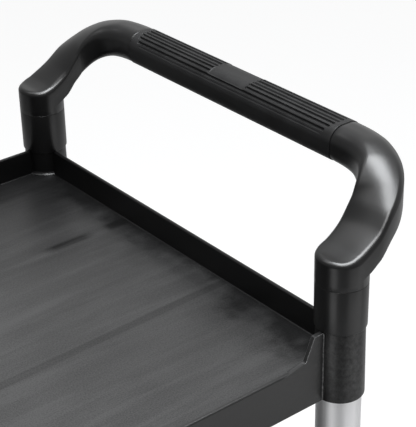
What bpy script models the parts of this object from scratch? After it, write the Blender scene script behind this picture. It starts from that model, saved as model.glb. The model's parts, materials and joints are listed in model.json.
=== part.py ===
"""Three-tray service cart on swivel casters, with a moulded handle and rubber grip at each end.

Units are metres, +Z is up, the floor is z = 0 and the origin is midway between the four casters.
+X points to the front handle, and the trays are open on their -Y side.
"""
import math

import bmesh
import bpy
from mathutils import Matrix, Vector

MM = 0.001
WELD_DISTANCE = 0.003 * MM

# Driving sizes of the whole cart
POST_SPACING_X = 836 * MM
POST_SPACING_Y = 455 * MM
TRAY_PITCH = 311.5 * MM
FIT_GAP = 0.3 * MM
CUT_OVERRUN = 10 * MM

# Facets of round pieces, all even so that opposite sides match
ROUND_STEPS = 16
CASTER_STEPS = 12
WHEEL_STEPS = 16
AXLE_STEPS = 10

# Tray moulding, heights counted down from the rim
TRAY_DEPTH = 69.5 * MM
FLOOR_DROP = 25.5 * MM
FLOOR_THICKNESS = 3.5 * MM
LIP_THICKNESS = 3.8 * MM
LIP_DRAFT = 1.7 * MM
SKIRT_THICKNESS = 3.4 * MM
OPEN_EDGE_OVERHANG = 3.0 * MM
OPEN_EDGE_RADIUS = 5.4 * MM
OPEN_EDGE_STEPS = 4
RIB_THICKNESS = 2.6 * MM
RIB_DEPTH = 16 * MM
CROSS_RIB_STEP = 2 * MM
LARGEST_LONG_CELL = 95 * MM
LARGEST_CROSS_CELL = 104 * MM
WING_TOP_REACH = 10.5 * MM
WING_FOOT_REACH = 18.5 * MM
WING_THICKNESS = 3.2 * MM
WING_ROOT = 3 * MM
WING_DROP = 1 * MM

# Corner sockets and the aluminium tubes in them
TUBE_RADIUS = 20 * MM
TUBE_WALL = 1.5 * MM
BOSS_WALL = 2.2 * MM
SOCKET_WEB = 5 * MM
SOCKET_WEB_HEIGHT = 32 * MM
WEB_HOLE_RADIUS = 9 * MM
SOCKET_RADIUS = TUBE_RADIUS + FIT_GAP
BOSS_RADIUS = SOCKET_RADIUS + BOSS_WALL

# Collar and moulded handle, heights counted up from the rim
COLLAR_WALL = 2.8 * MM
COLLAR_HEIGHT = 42.5 * MM
SLEEVE_TOP = 64 * MM
HANDLE_POST_REACH = 58 * MM
CAP_HEIGHT = 69 * MM
CAP_EDGE_ROUND = 4.5 * MM
ARM_STRAIGHT = 11.7 * MM
CORNER_REACH_X = 66.7 * MM
CORNER_POWER = 2.3
CORNER_RINGS = 10
SECTION_STEPS = 3
STRAIGHT_PART = 0.3

# Arm section at places from the post (0) to the end of the corner (1):
# place, width, top and underside over the rim, all in millimetres
ARM_SHAPE = (
    (0.0, 46.0, 72.2, 50.0),
    (0.1, 45.9, 84.2, 57.5),
    (0.2, 43.6, 100.0, 71.0),
    (0.4, 39.9, 117.7, 84.5),
    (0.6, 37.9, 127.6, 93.8),
    (0.8, 38.3, 131.8, 98.8),
    (1.0, 39.0, 132.0, 100.2),
)
ARM_TOP_ROUND = (6.2 * MM, 15 * MM)
ARM_UNDER_ROUND = (3.2 * MM, 9.5 * MM)
ROUNDING_START = 0.3
ROUNDING_SPAN = 0.48

# Rings of the cap behind the post's centre, as parts of its radius, and where its top starts to rise
CAP_RINGS = (0.97, 0.85, 0.65, 0.4, 0.18)
CAP_RISE_START = 0.55
CAP_RISE_POWER = 1.5

# Rubber grip on the bar of the handle
GRIP_HALF_LENGTH = 147 * MM
SEAM_TO_CORNER = 5.9 * MM
GRIP_THICKNESS = 3.2 * MM
GRIP_PROUD = 0.5 * MM
GROOVE_COUNT = 8
GROOVE_PITCH = 5.14 * MM
GROOVE_WIDTH = 1.7 * MM
GROOVE_DEPTH = 1.1 * MM
GROOVE_END_MARGIN = 7 * MM
GROOVE_RUN_OUT = 1.5 * MM
OUTER_GROOVE_SHARE = 0.4
PLAQUE_HALF_LENGTH = 26 * MM

# Casters
WHEEL_RADIUS = 50 * MM
TYRE_WIDTH = 24 * MM
TYRE_SECTION = 12 * MM
TREAD_FLAT = 13 * MM
TREAD_SHOULDER = 4 * MM
TYRE_SIDE_INSET = 1.5 * MM
HUB_LENGTH = 28 * MM
HUB_BARREL_RADIUS = 11 * MM
HUB_WEB = 6 * MM
HUB_RIM_THICKNESS = 4 * MM
HUB_RIM_INSET = 2 * MM
AXLE_RADIUS = 4 * MM
AXLE_CLEARANCE = 0.3 * MM
CASTER_TRAIL = 36 * MM
FORK_PLATE = 3 * MM
FORK_HEAD_RADIUS = 22.5 * MM
FORK_BRIDGE_FRONT = 12 * MM
FORK_BRIDGE_BACK = 26 * MM
FORK_EDGE = 1 * MM
FORK_LEG_ROUND = 11 * MM
FORK_LEG_STEPS = 6
WHEEL_TO_FORK = 16 * MM
RACE_HEIGHT = 5.4 * MM
RACE_RADIUS = 21 * MM
RACE_BORE = 9 * MM
STEM_PLATE = 4 * MM
STEM_PLATE_RADIUS = 22 * MM
STEM_RADIUS = 5.5 * MM
STEM_REACH = 40 * MM
KINGPIN_RADIUS = 6 * MM
KINGPIN_HEAD_RADIUS = 10 * MM
KINGPIN_HEAD_HEIGHT = 5 * MM
PLUG_FLANGE = 3 * MM
NUT_WIDTH = 13 * MM
NUT_HEIGHT = 5 * MM
BOLT_TIP = 0.3 * MM
BOLT_HEAD_HEIGHT = 4.5 * MM

# Screws that hold the handle's sleeves on the posts
SCREW_RADIUS = 1.9 * MM
SCREW_HOLE_RADIUS = 2.2 * MM
SCREW_HEAD_RADIUS = 3.8 * MM
SCREW_HEAD_HEIGHT = 2.2 * MM
SCREW_HEAD_TAPER = 0.75
SCREW_LENGTH = 9 * MM
SCREW_STEPS = 6
SCREW_PHASE = math.radians(13)

# Positions that follow from the sizes above
HALF_X = POST_SPACING_X / 2
HALF_Y = POST_SPACING_Y / 2
CORNER_REACH_Y = HALF_Y - GRIP_HALF_LENGTH - SEAM_TO_CORNER
FORK_UNDERSIDE = 2 * WHEEL_RADIUS + WHEEL_TO_FORK
FORK_TOP = FORK_UNDERSIDE + FORK_PLATE
RACE_BOTTOM = FORK_TOP + FIT_GAP
STEM_PLATE_BOTTOM = RACE_BOTTOM + RACE_HEIGHT + FIT_GAP
PLUG_BOTTOM = STEM_PLATE_BOTTOM + STEM_PLATE + FIT_GAP
TRAY_BASE = PLUG_BOTTOM + PLUG_FLANGE + FIT_GAP
TRAY_BASES = tuple(TRAY_BASE + level * TRAY_PITCH for level in range(3))
TOP_RIM = TRAY_BASES[2] + TRAY_DEPTH
WEB_TOP = SOCKET_WEB_HEIGHT + SOCKET_WEB
COLLAR_RADIUS = SOCKET_RADIUS + COLLAR_WALL
SLEEVE_BOTTOM = COLLAR_HEIGHT + FIT_GAP
HANDLE_SCREW_HEIGHT = (SLEEVE_BOTTOM + HANDLE_POST_REACH) / 2
BAR_REACH = ARM_STRAIGHT + CORNER_REACH_X
BAR_WIDTH = ARM_SHAPE[-1][1] * MM
BAR_TOP = TOP_RIM + ARM_SHAPE[-1][2] * MM
BAR_UNDER = TOP_RIM + ARM_SHAPE[-1][3] * MM
AXLE_SEAT = HUB_LENGTH / 2 + 2 * FIT_GAP + FORK_PLATE
WHEEL_PHASE = math.pi / 2 - math.pi / WHEEL_STEPS
WHEEL_LIFT = 1 / math.cos(math.pi / WHEEL_STEPS)

CORNERS = {
    "front_left": (HALF_X, HALF_Y),
    "front_right": (HALF_X, -HALF_Y),
    "rear_left": (-HALF_X, HALF_Y),
    "rear_right": (-HALF_X, -HALF_Y),
}


def clear_scene():
    """Remove every object, so that the cart starts from an empty file."""
    for existing in list(bpy.data.objects):
        bpy.data.objects.remove(existing, do_unlink=True)


def material(name, colour, roughness, metallic=0.0):
    """One Principled material with a plain colour and finish."""
    made = bpy.data.materials.new(name)
    made.use_nodes = True
    shader = made.node_tree.nodes["Principled BSDF"]
    shader.inputs["Base Color"].default_value = (*colour, 1.0)
    shader.inputs["Roughness"].default_value = roughness
    shader.inputs["Metallic"].default_value = metallic
    made.diffuse_color = (*colour, 1.0)
    return made


def finish_mesh(bm, name):
    """Close up a bmesh into a mesh with outward faces, smooth but for its sharp edges."""
    bmesh.ops.remove_doubles(bm, verts=bm.verts, dist=1e-7)
    bmesh.ops.recalc_face_normals(bm, faces=bm.faces)
    mesh = bpy.data.meshes.new(name)
    bm.to_mesh(mesh)
    bm.free()
    mesh.shade_smooth()
    mesh.set_sharp_from_angle(angle=math.radians(40))
    return mesh


def place(name, mesh, made_of, location=(0, 0, 0), turn=0.0, parent=None):
    """Add a named object, or an empty with no mesh, at a location and turned about Z."""
    thing = bpy.data.objects.new(name, mesh)
    bpy.context.scene.collection.objects.link(thing)
    if mesh and not mesh.materials:
        mesh.materials.append(made_of)
    thing.location = location
    thing.rotation_euler = (0, 0, turn)
    thing.parent = parent
    return thing


def turned(profile, steps=ROUND_STEPS, axis="Z", phase=0.0):
    """Spin a closed profile of (radius, height) points about an axis into a round solid."""
    bm = bmesh.new()
    verts = [bm.verts.new((radius, 0, height)) for radius, height in profile]
    edges = [bm.edges.new((verts[i - 1], verts[i])) for i in range(len(verts))]
    bmesh.ops.spin(bm, geom=verts + edges, cent=(0, 0, 0), axis=(0, 0, 1),
                   angle=2 * math.pi, steps=steps, use_merge=True)
    bmesh.ops.remove_doubles(bm, verts=bm.verts, dist=1e-6)
    on_axis = [edge for edge in bm.edges if not edge.link_faces]
    bmesh.ops.delete(bm, geom=on_axis, context="EDGES")
    bm.transform(Matrix.Rotation(phase, 4, "Z"))
    if axis == "Y":
        bm.transform(Matrix.Rotation(-math.pi / 2, 4, "X"))
    if axis == "X":
        bm.transform(Matrix.Rotation(math.pi / 2, 4, "Y"))
    bmesh.ops.recalc_face_normals(bm, faces=bm.faces)
    return bm


def ring(outer, inner, bottom, top, steps=ROUND_STEPS):
    """A plain tube or washer standing on Z."""
    return turned([(inner, bottom), (outer, bottom), (outer, top), (inner, top)], steps)


def rod(radius, bottom, top, steps=ROUND_STEPS, axis="Z", phase=0.0):
    """A plain solid cylinder."""
    return turned([(0, bottom), (radius, bottom), (radius, top), (0, top)], steps, axis, phase)


def prism(outline, low, high, plane="XY"):
    """Extrude a closed outline from low to high along the axis that its plane leaves out."""
    bm = bmesh.new()
    order = {"XY": lambda a, b, c: (a, b, c), "XZ": lambda a, b, c: (a, c, b),
             "YZ": lambda a, b, c: (c, a, b)}[plane]
    near = [bm.verts.new(order(a, b, low)) for a, b in outline]
    face = bm.faces.new(near)
    grown = bmesh.ops.extrude_face_region(bm, geom=[face])
    far = [item for item in grown["geom"] if isinstance(item, bmesh.types.BMVert)]
    bmesh.ops.translate(bm, verts=far, vec=order(0, 0, high - low))
    bmesh.ops.recalc_face_normals(bm, faces=bm.faces)
    return bm


def box(low, high):
    """A box between two corners."""
    return prism([(low[0], low[1]), (high[0], low[1]), (high[0], high[1]), (low[0], high[1])],
                 low[2], high[2])


def loft(rings):
    """Skin closed rings of the same number of points, and cap both ends."""
    bm = bmesh.new()
    rows = [[bm.verts.new(point) for point in points] for points in rings]
    count = len(rows[0])
    for before, after in zip(rows[:-1], rows[1:]):
        for i in range(count):
            j = (i + 1) % count
            bm.faces.new((before[i], before[j], after[j], after[i]))
    bm.faces.new(rows[0])
    bm.faces.new(rows[-1])
    bmesh.ops.recalc_face_normals(bm, faces=bm.faces)
    return bm


def joined(pieces):
    """Put several separate solids into one bmesh."""
    together = bmesh.new()
    for piece in pieces:
        loose = bpy.data.meshes.new("loose")
        piece.to_mesh(loose)
        piece.free()
        together.from_mesh(loose)
        bpy.data.meshes.remove(loose)
    return together


def moved(bm, x=0.0, y=0.0, z=0.0, turn=0.0):
    """Turn a bmesh about Z, then shift it."""
    bm.transform(Matrix.Translation((x, y, z)) @ Matrix.Rotation(turn, 4, "Z"))
    return bm


def welded(bm):
    """Merge the near-double points that a Boolean leaves where faces meet at a shallow angle."""
    bmesh.ops.remove_doubles(bm, verts=bm.verts, dist=WELD_DISTANCE)
    bmesh.ops.dissolve_degenerate(bm, edges=bm.edges, dist=WELD_DISTANCE)
    return bm


def carved(base, steps, name):
    """Apply exact Boolean steps, each (operation, solid), to a base solid and return the mesh."""
    for operation, solid in steps:
        body = bpy.data.objects.new(name, finish_mesh(base, name))
        helper = bpy.data.objects.new(name + "_helper", finish_mesh(solid, name + "_helper"))
        for thing in (body, helper):
            bpy.context.scene.collection.objects.link(thing)
        cut = body.modifiers.new(operation.lower(), "BOOLEAN")
        cut.operation = operation
        cut.solver = "EXACT"
        cut.object = helper
        bpy.context.view_layer.update()
        seen = body.evaluated_get(bpy.context.evaluated_depsgraph_get())
        result = bpy.data.meshes.new_from_object(seen)
        base = bmesh.new()
        base.from_mesh(result)
        welded(base)
        for thing in (body, helper):
            mesh = thing.data
            bpy.data.objects.remove(thing, do_unlink=True)
            bpy.data.meshes.remove(mesh)
        bpy.data.meshes.remove(result)
    bmesh.ops.dissolve_limit(base, angle_limit=math.radians(0.02), verts=base.verts,
                             edges=base.edges, use_dissolve_boundaries=False)
    return finish_mesh(base, name)


def smooth_between(table, column, where):
    """Read a column of a table of places with a cubic that never overshoots its rows."""
    places = [row[0] for row in table]
    values = [row[column] * MM for row in table]
    if where <= places[0]:
        return values[0]
    if where >= places[-1]:
        return values[-1]
    slopes = [(values[i + 1] - values[i]) / (places[i + 1] - places[i])
              for i in range(len(places) - 1)]
    ends = [slopes[0]]
    for before, after in zip(slopes[:-1], slopes[1:]):
        ends.append(2 * before * after / (before + after) if before * after > 0 else 0.0)
    ends.append(slopes[-1])
    i = max(k for k in range(len(places) - 1) if places[k] <= where)
    span = places[i + 1] - places[i]
    t = (where - places[i]) / span
    return (values[i] * (1 + 2 * t) * (1 - t) ** 2 + values[i + 1] * t * t * (3 - 2 * t)
            + span * (ends[i] * t * (1 - t) ** 2 - ends[i + 1] * t * t * (1 - t)))


def rounded_section(width, top, under, top_round, under_round):
    """Points (across, height) of an upright rounded rectangle, counted the same way each time."""
    half = width / 2
    limit = min(half, (top - under) / 2) * 0.98
    top_round = min(top_round, limit)
    under_round = min(under_round, limit)
    corners = (
        (half - top_round, top - top_round, top_round, 0.0),
        (top_round - half, top - top_round, top_round, 90.0),
        (under_round - half, under + under_round, under_round, 180.0),
        (half - under_round, under + under_round, under_round, 270.0),
    )
    points = []
    for across, height, radius, start in corners:
        for step in range(SECTION_STEPS + 1):
            angle = math.radians(start + 90.0 * step / SECTION_STEPS)
            points.append((across + radius * math.cos(angle), height + radius * math.sin(angle)))
    return points


def screw_hole(outer_radius):
    """A cutter along X through the +X wall of what stands round a post."""
    return rod(SCREW_HOLE_RADIUS, TUBE_RADIUS / 2, outer_radius + CUT_OVERRUN, SCREW_STEPS, "X",
               SCREW_PHASE)


def at_corners(solid_of):
    """Put a solid made by a function at all four corners."""
    return joined([moved(solid_of(), x, y) for x, y in CORNERS.values()])


def between(low, high, largest_cell):
    """Places of the ribs that part a span into even cells no larger than a limit."""
    cells = math.ceil((high - low) / largest_cell)
    return [low + (high - low) * i / cells for i in range(1, cells)]


def tray_mesh():
    """One tray: ribbed floor, lip on three sides, skirt, and a socket boss at each corner."""
    floor_top = TRAY_DEPTH - FLOOR_DROP
    floor_under = floor_top - FLOOR_THICKNESS
    open_side = -HALF_Y - OPEN_EDGE_OVERHANG
    above = TRAY_DEPTH + CUT_OVERRUN
    shell = box((-HALF_X, open_side, 0), (HALF_X, HALF_Y, TRAY_DEPTH))

    # The hollow over the floor runs out over the rounded open edge
    wall_foot = LIP_THICKNESS + LIP_DRAFT
    edge_y = open_side + OPEN_EDGE_RADIUS
    edge_z = floor_top - OPEN_EDGE_RADIUS
    profile = [(HALF_Y - wall_foot, floor_top)]
    for step in range(OPEN_EDGE_STEPS + 1):
        angle = math.radians(90 + 90 * step / OPEN_EDGE_STEPS)
        profile.append((edge_y + OPEN_EDGE_RADIUS * math.cos(angle),
                        edge_z + OPEN_EDGE_RADIUS * math.sin(angle)))
    outside = open_side - CUT_OVERRUN
    rise = (above - floor_top) / FLOOR_DROP
    profile += [(outside, edge_z), (outside, above), (HALF_Y - wall_foot + rise * LIP_DRAFT, above)]
    hollow = prism(profile, -1.0, 1.0, "YZ")
    for vert in hollow.verts:
        lift = (vert.co.z - floor_top) / FLOOR_DROP
        vert.co.x = math.copysign(HALF_X - wall_foot + lift * LIP_DRAFT, vert.co.x)

    inner_x = HALF_X - SKIRT_THICKNESS
    inner_y = HALF_Y - SKIRT_THICKNESS
    inner_open = open_side + SKIRT_THICKNESS
    under = box((-inner_x, inner_open, -CUT_OVERRUN), (inner_x, inner_y, floor_under))

    # The ribs are rooted halfway into the floor and the skirt
    seat = SKIRT_THICKNESS / 2
    half_rib = RIB_THICKNESS / 2
    rib_low = floor_under - RIB_DEPTH
    rib_high = floor_under + FLOOR_THICKNESS / 2
    long_ribs = joined([
        box((-inner_x - seat, y - half_rib, rib_low), (inner_x + seat, y + half_rib, rib_high))
        for y in between(inner_open, inner_y, LARGEST_LONG_CELL)])
    cross_ribs = joined([
        box((x - half_rib, inner_open - seat, rib_low + CROSS_RIB_STEP),
            (x + half_rib, inner_y + seat, rib_high))
        for x in between(-inner_x, inner_x, LARGEST_CROSS_CELL)])

    # A thin wing stiffens the lip's end at each corner of the open side
    boss_side = HALF_X - BOSS_RADIUS
    wing_root = floor_under + FLOOR_THICKNESS / 2
    wing_outline = [(boss_side + WING_ROOT, wing_root), (boss_side + WING_ROOT, TRAY_DEPTH - WING_DROP),
                    (boss_side - WING_TOP_REACH, TRAY_DEPTH - WING_DROP),
                    (boss_side - WING_FOOT_REACH, floor_top), (boss_side - WING_FOOT_REACH, wing_root)]
    wings = joined([
        prism([(side * x, z) for x, z in wing_outline], open_side + FIT_GAP,
              open_side + WING_THICKNESS, "XZ") for side in (-1, 1)])

    # A web parts each boss into an upper socket for a tube and a lower one for a caster or tube
    bosses = at_corners(lambda: rod(BOSS_RADIUS, 0, TRAY_DEPTH - FIT_GAP))
    upper_sockets = at_corners(lambda: rod(SOCKET_RADIUS, WEB_TOP, above))
    lower_sockets = at_corners(lambda: rod(SOCKET_RADIUS, -CUT_OVERRUN, SOCKET_WEB_HEIGHT))
    web_holes = at_corners(lambda: rod(WEB_HOLE_RADIUS, SOCKET_WEB_HEIGHT - SOCKET_WEB,
                                       WEB_TOP + SOCKET_WEB, AXLE_STEPS))
    return carved(shell, [
        ("DIFFERENCE", hollow), ("DIFFERENCE", under), ("UNION", long_ribs), ("UNION", cross_ribs),
        ("UNION", wings), ("UNION", bosses), ("DIFFERENCE", upper_sockets),
        ("DIFFERENCE", lower_sockets), ("DIFFERENCE", web_holes)], "tray")


def post_mesh():
    """A handle post on the top tray's web, with a screw hole through its +X wall."""
    foot = TRAY_BASES[2] + WEB_TOP + FIT_GAP
    tube = ring(TUBE_RADIUS, TUBE_RADIUS - TUBE_WALL, foot, TOP_RIM + HANDLE_POST_REACH)
    hole = moved(screw_hole(TUBE_RADIUS), z=TOP_RIM + HANDLE_SCREW_HEIGHT)
    return carved(tube, [("DIFFERENCE", hole)], "post")


def arch_place(place_on_arm):
    """Plan position of the arm's centreline, as (reach from the post, offset from the middle)."""
    turn = place_on_arm * math.pi / 2
    straight = ARM_STRAIGHT * math.sin(min(1.0, place_on_arm / STRAIGHT_PART) * math.pi / 2)
    reach = straight + CORNER_REACH_X * math.sin(turn) ** (2 / CORNER_POWER)
    offset = HALF_Y - CORNER_REACH_Y * (1 - max(math.cos(turn), 0.0) ** (2 / CORNER_POWER))
    return reach, offset


def arm_rings():
    """Rings of the arm on the +Y side, from the back of the cap to the end of the corner."""
    rings = []
    for back in CAP_RINGS:
        lift = max(0.0, 1 - back / CAP_RISE_START) ** CAP_RISE_POWER
        top = CAP_HEIGHT + (ARM_SHAPE[0][2] * MM - CAP_HEIGHT) * lift
        if back == CAP_RINGS[0]:
            top -= CAP_EDGE_ROUND / 2
        points = rounded_section(2 * COLLAR_RADIUS * math.sqrt(1 - back ** 2), TOP_RIM + top,
                                 TOP_RIM + ARM_SHAPE[0][3] * MM, CAP_EDGE_ROUND, ARM_UNDER_ROUND[0])
        rings.append(ring_in_space((-COLLAR_RADIUS * back, HALF_Y), (0.0, -1.0), points))
    for i in range(CORNER_RINGS + 1):
        where = i / CORNER_RINGS
        before = arch_place(max(where - 0.01, 0.0))
        after = arch_place(min(where + 0.01, 1.0))
        along = Vector((after[0] - before[0], after[1] - before[1])).normalized()
        blend = min(1.0, max(0.0, (where - ROUNDING_START) / ROUNDING_SPAN))
        points = rounded_section(
            smooth_between(ARM_SHAPE, 1, where),
            TOP_RIM + smooth_between(ARM_SHAPE, 2, where),
            TOP_RIM + smooth_between(ARM_SHAPE, 3, where),
            ARM_TOP_ROUND[0] + blend * (ARM_TOP_ROUND[1] - ARM_TOP_ROUND[0]),
            ARM_UNDER_ROUND[0] + blend * (ARM_UNDER_ROUND[1] - ARM_UNDER_ROUND[0]))
        rings.append(ring_in_space(arch_place(where), (along.y, -along.x), points))
    return rings


def bar_section(shrink):
    """The bar's section made smaller all round, as (across, height) points."""
    return rounded_section(BAR_WIDTH - 2 * shrink, BAR_TOP - shrink, BAR_UNDER + shrink,
                           ARM_TOP_ROUND[1] - shrink, ARM_UNDER_ROUND[1] - shrink)


def ring_in_space(centre, inward, points):
    """Stand section points upright at a plan position."""
    return [(centre[0] + inward[0] * across, centre[1] + inward[1] * across, height)
            for across, height in points]


def bar_ring(offset, points):
    """Stand section points at an offset along the straight bar."""
    return ring_in_space((BAR_REACH, offset), (-1.0, 0.0), points)


def handle_mesh():
    """The handle: two sleeves over the posts and an arch whose bar is waisted for the grip."""
    seam = GRIP_HALF_LENGTH + FIT_GAP
    half = arm_rings() + [bar_ring(seam, bar_section(0.0)), bar_ring(seam, bar_section(GRIP_THICKNESS))]
    other_half = [[(x, -y, z) for x, y, z in points] for points in reversed(half)]
    arch = loft(half + other_half)

    def on_posts(solid_of):
        """Put a solid made by a function on both posts."""
        return joined([moved(solid_of(), y=side * HALF_Y) for side in (-1, 1)])

    bottom = TOP_RIM + SLEEVE_BOTTOM
    bore_top = TOP_RIM + HANDLE_POST_REACH + FIT_GAP
    sleeves = on_posts(lambda: rod(COLLAR_RADIUS, bottom, TOP_RIM + SLEEVE_TOP))
    bores = on_posts(lambda: rod(SOCKET_RADIUS, bottom - CUT_OVERRUN, bore_top))
    holes = on_posts(lambda: moved(screw_hole(COLLAR_RADIUS), z=TOP_RIM + HANDLE_SCREW_HEIGHT))
    return carved(arch, [("UNION", sleeves), ("DIFFERENCE", bores), ("DIFFERENCE", holes)], "handle")


def grooved_section(depths):
    """The grip's outer section with a groove of each depth over its rounded top."""
    outer_round = ARM_TOP_ROUND[1] + GRIP_PROUD
    flat_half = BAR_WIDTH / 2 - ARM_TOP_ROUND[1]
    round_centre = BAR_TOP - ARM_TOP_ROUND[1]

    def on_top(distance, sink=0.0):
        """The point at a distance along the curve of the top, sunk below it."""
        angle = max(0.0, abs(distance) - flat_half) / outer_round
        across = min(abs(distance), flat_half) + (outer_round - sink) * math.sin(angle)
        return (math.copysign(across, distance), round_centre + (outer_round - sink) * math.cos(angle))

    outermost = (GROOVE_COUNT - 1) / 2 * GROOVE_PITCH
    side = flat_half + outer_round * math.pi / 2
    shoulder = (outermost + GROOVE_WIDTH / 2 + side) / 2
    points = [on_top(side), on_top(shoulder)]
    for i, depth in enumerate(depths):
        middle = outermost - i * GROOVE_PITCH
        points += [on_top(middle + GROOVE_WIDTH / 2), on_top(middle, depth),
                   on_top(middle - GROOVE_WIDTH / 2)]
    points += [on_top(-shoulder), on_top(-side)]
    under_half = bar_section(-GRIP_PROUD)[2 * (SECTION_STEPS + 1):]
    return points + under_half


def grip_mesh():
    """The rubber grip: a sleeve on the bar with two blocks of grooves and a bare plaque between."""
    inner = GROOVE_COUNT - 2
    outer = GROOVE_DEPTH * OUTER_GROOVE_SHARE
    smooth = [0.0] * GROOVE_COUNT
    grooved = [outer] + [GROOVE_DEPTH] * inner + [outer]
    beside_plaque = [outer, GROOVE_DEPTH] + [0.0] * (inner - 2) + [GROOVE_DEPTH, outer]
    block_end = GRIP_HALF_LENGTH - GROOVE_END_MARGIN
    stops = [(GRIP_HALF_LENGTH, smooth), (block_end, smooth), (block_end - GROOVE_RUN_OUT, grooved),
             (PLAQUE_HALF_LENGTH + GROOVE_RUN_OUT, grooved), (PLAQUE_HALF_LENGTH, beside_plaque)]
    stops += [(-offset, depths) for offset, depths in reversed(stops)]
    sleeve = loft([bar_ring(offset, grooved_section(depths)) for offset, depths in stops])
    core_end = GRIP_HALF_LENGTH + CUT_OVERRUN
    core = loft([bar_ring(offset, bar_section(GRIP_THICKNESS - FIT_GAP))
                 for offset in (core_end, -core_end)])
    return carved(sleeve, [("DIFFERENCE", core)], "grip")


def stem_mesh():
    """The caster's stem, race plate and riveted kingpin, turned in one piece."""
    stem_top = TRAY_BASE + STEM_REACH
    plate_top = STEM_PLATE_BOTTOM + STEM_PLATE
    head_top = FORK_UNDERSIDE - FIT_GAP
    return finish_mesh(turned([
        (0, head_top - KINGPIN_HEAD_HEIGHT), (KINGPIN_HEAD_RADIUS, head_top - KINGPIN_HEAD_HEIGHT),
        (KINGPIN_HEAD_RADIUS, head_top), (KINGPIN_RADIUS, head_top),
        (KINGPIN_RADIUS, STEM_PLATE_BOTTOM), (STEM_PLATE_RADIUS, STEM_PLATE_BOTTOM),
        (STEM_PLATE_RADIUS, plate_top), (STEM_RADIUS, plate_top), (STEM_RADIUS, stem_top),
        (0, stem_top)], CASTER_STEPS), "stem")


def plug_mesh():
    """The plastic plug that seats the stem in the tray's lower socket."""
    top = TRAY_BASE + SOCKET_WEB_HEIGHT - FIT_GAP
    bore = STEM_RADIUS + FIT_GAP
    return finish_mesh(turned([
        (bore, PLUG_BOTTOM), (BOSS_RADIUS, PLUG_BOTTOM), (BOSS_RADIUS, PLUG_BOTTOM + PLUG_FLANGE),
        (TUBE_RADIUS, PLUG_BOTTOM + PLUG_FLANGE), (TUBE_RADIUS, top), (bore, top)]), "plug")


def race_mesh():
    """The closed swivel bearing between the fork and the stem's plate."""
    top = RACE_BOTTOM + RACE_HEIGHT
    middle = RACE_BOTTOM + RACE_HEIGHT / 2
    waist = RACE_RADIUS - RACE_HEIGHT / 2
    return finish_mesh(turned([
        (RACE_BORE, RACE_BOTTOM), (waist, RACE_BOTTOM), (RACE_RADIUS, middle), (waist, top),
        (RACE_BORE, top)], CASTER_STEPS), "race")


def fork_mesh():
    """The pressed fork: a round head, two tapering legs set back to the axle, and their holes."""
    gap = HUB_LENGTH / 2 + FIT_GAP
    outside = gap + FORK_PLATE
    root = FORK_UNDERSIDE + FORK_PLATE / 2

    # Two thirds of the head is round, and its back is a bridge between the legs
    head_outline = []
    for step in range(-CASTER_STEPS // 3, CASTER_STEPS // 3 + 1):
        angle = 2 * math.pi * step / CASTER_STEPS
        head_outline.append((FORK_HEAD_RADIUS * math.cos(angle), FORK_HEAD_RADIUS * math.sin(angle)))
    head_outline += [(-FORK_BRIDGE_BACK - FORK_EDGE, side * (outside + FORK_EDGE)) for side in (1, -1)]
    head = prism(head_outline, FORK_UNDERSIDE, FORK_TOP)

    outline = [(FORK_BRIDGE_FRONT, root), (-FORK_BRIDGE_BACK, root)]
    for step in range(FORK_LEG_STEPS + 1):
        angle = math.radians(180 + 180 * step / FORK_LEG_STEPS)
        outline.append((FORK_LEG_ROUND * math.cos(angle) - CASTER_TRAIL,
                        FORK_LEG_ROUND * math.sin(angle) + WHEEL_RADIUS))
    legs = joined([prism(outline, low, low + FORK_PLATE, "XZ") for low in (gap, -outside)])
    pin_hole = rod(KINGPIN_RADIUS + FIT_GAP, FORK_UNDERSIDE - CUT_OVERRUN, FORK_TOP + CUT_OVERRUN,
                   CASTER_STEPS)
    axle_hole = moved(axle_bore(), -CASTER_TRAIL, 0, WHEEL_RADIUS)
    return carved(head, [("UNION", legs), ("DIFFERENCE", pin_hole), ("DIFFERENCE", axle_hole)], "fork")


def axle_bore():
    """A cutter along Y for the axle's holes."""
    end = AXLE_SEAT + CUT_OVERRUN
    return rod(AXLE_RADIUS + AXLE_CLEARANCE, -end, end, AXLE_STEPS, "Y")


def tyre_mesh():
    """The tyre, with a flat of the tread on the floor."""
    half = TYRE_WIDTH / 2
    side = [(WHEEL_RADIUS - TYRE_SECTION, half - TYRE_SIDE_INSET), (WHEEL_RADIUS - TREAD_SHOULDER, half),
            (WHEEL_RADIUS, TREAD_FLAT / 2)]
    return finish_mesh(wheel_solid(side), "tyre")


def hub_mesh():
    """The wheel's hub: barrel, dished web and rim in one moulding, bored for the axle."""
    rim = WHEEL_RADIUS - TYRE_SECTION - FIT_GAP
    half_rim = TYRE_WIDTH / 2 - HUB_RIM_INSET
    side = [(AXLE_RADIUS + AXLE_CLEARANCE, HUB_LENGTH / 2), (HUB_BARREL_RADIUS, HUB_LENGTH / 2),
            (HUB_BARREL_RADIUS, HUB_WEB / 2), (rim - HUB_RIM_THICKNESS, HUB_WEB / 2), (rim, half_rim)]
    return finish_mesh(wheel_solid(side), "hub")


def wheel_solid(side):
    """Spin one side's (radius, along) points and their mirror image about the axle."""
    profile = [(radius, -along) for radius, along in side] + side[::-1]
    return turned([(radius * WHEEL_LIFT, along) for radius, along in profile], WHEEL_STEPS, "Y",
                  WHEEL_PHASE)


def hexagon(width):
    """Six corners of a hexagon by its width across flats."""
    radius = width / math.sqrt(3)
    return [(radius * math.cos(math.radians(60 * i)), radius * math.sin(math.radians(60 * i)))
            for i in range(6)]


def bolt_mesh():
    """The axle bolt, its hexagon head outside the fork's -Y leg."""
    shank = rod(AXLE_RADIUS, -AXLE_SEAT - BOLT_HEAD_HEIGHT / 2, AXLE_SEAT + NUT_HEIGHT + BOLT_TIP,
                AXLE_STEPS, "Y")
    head = prism(hexagon(NUT_WIDTH), -AXLE_SEAT - BOLT_HEAD_HEIGHT, -AXLE_SEAT, "XZ")
    return carved(head, [("UNION", shank)], "bolt")


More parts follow.
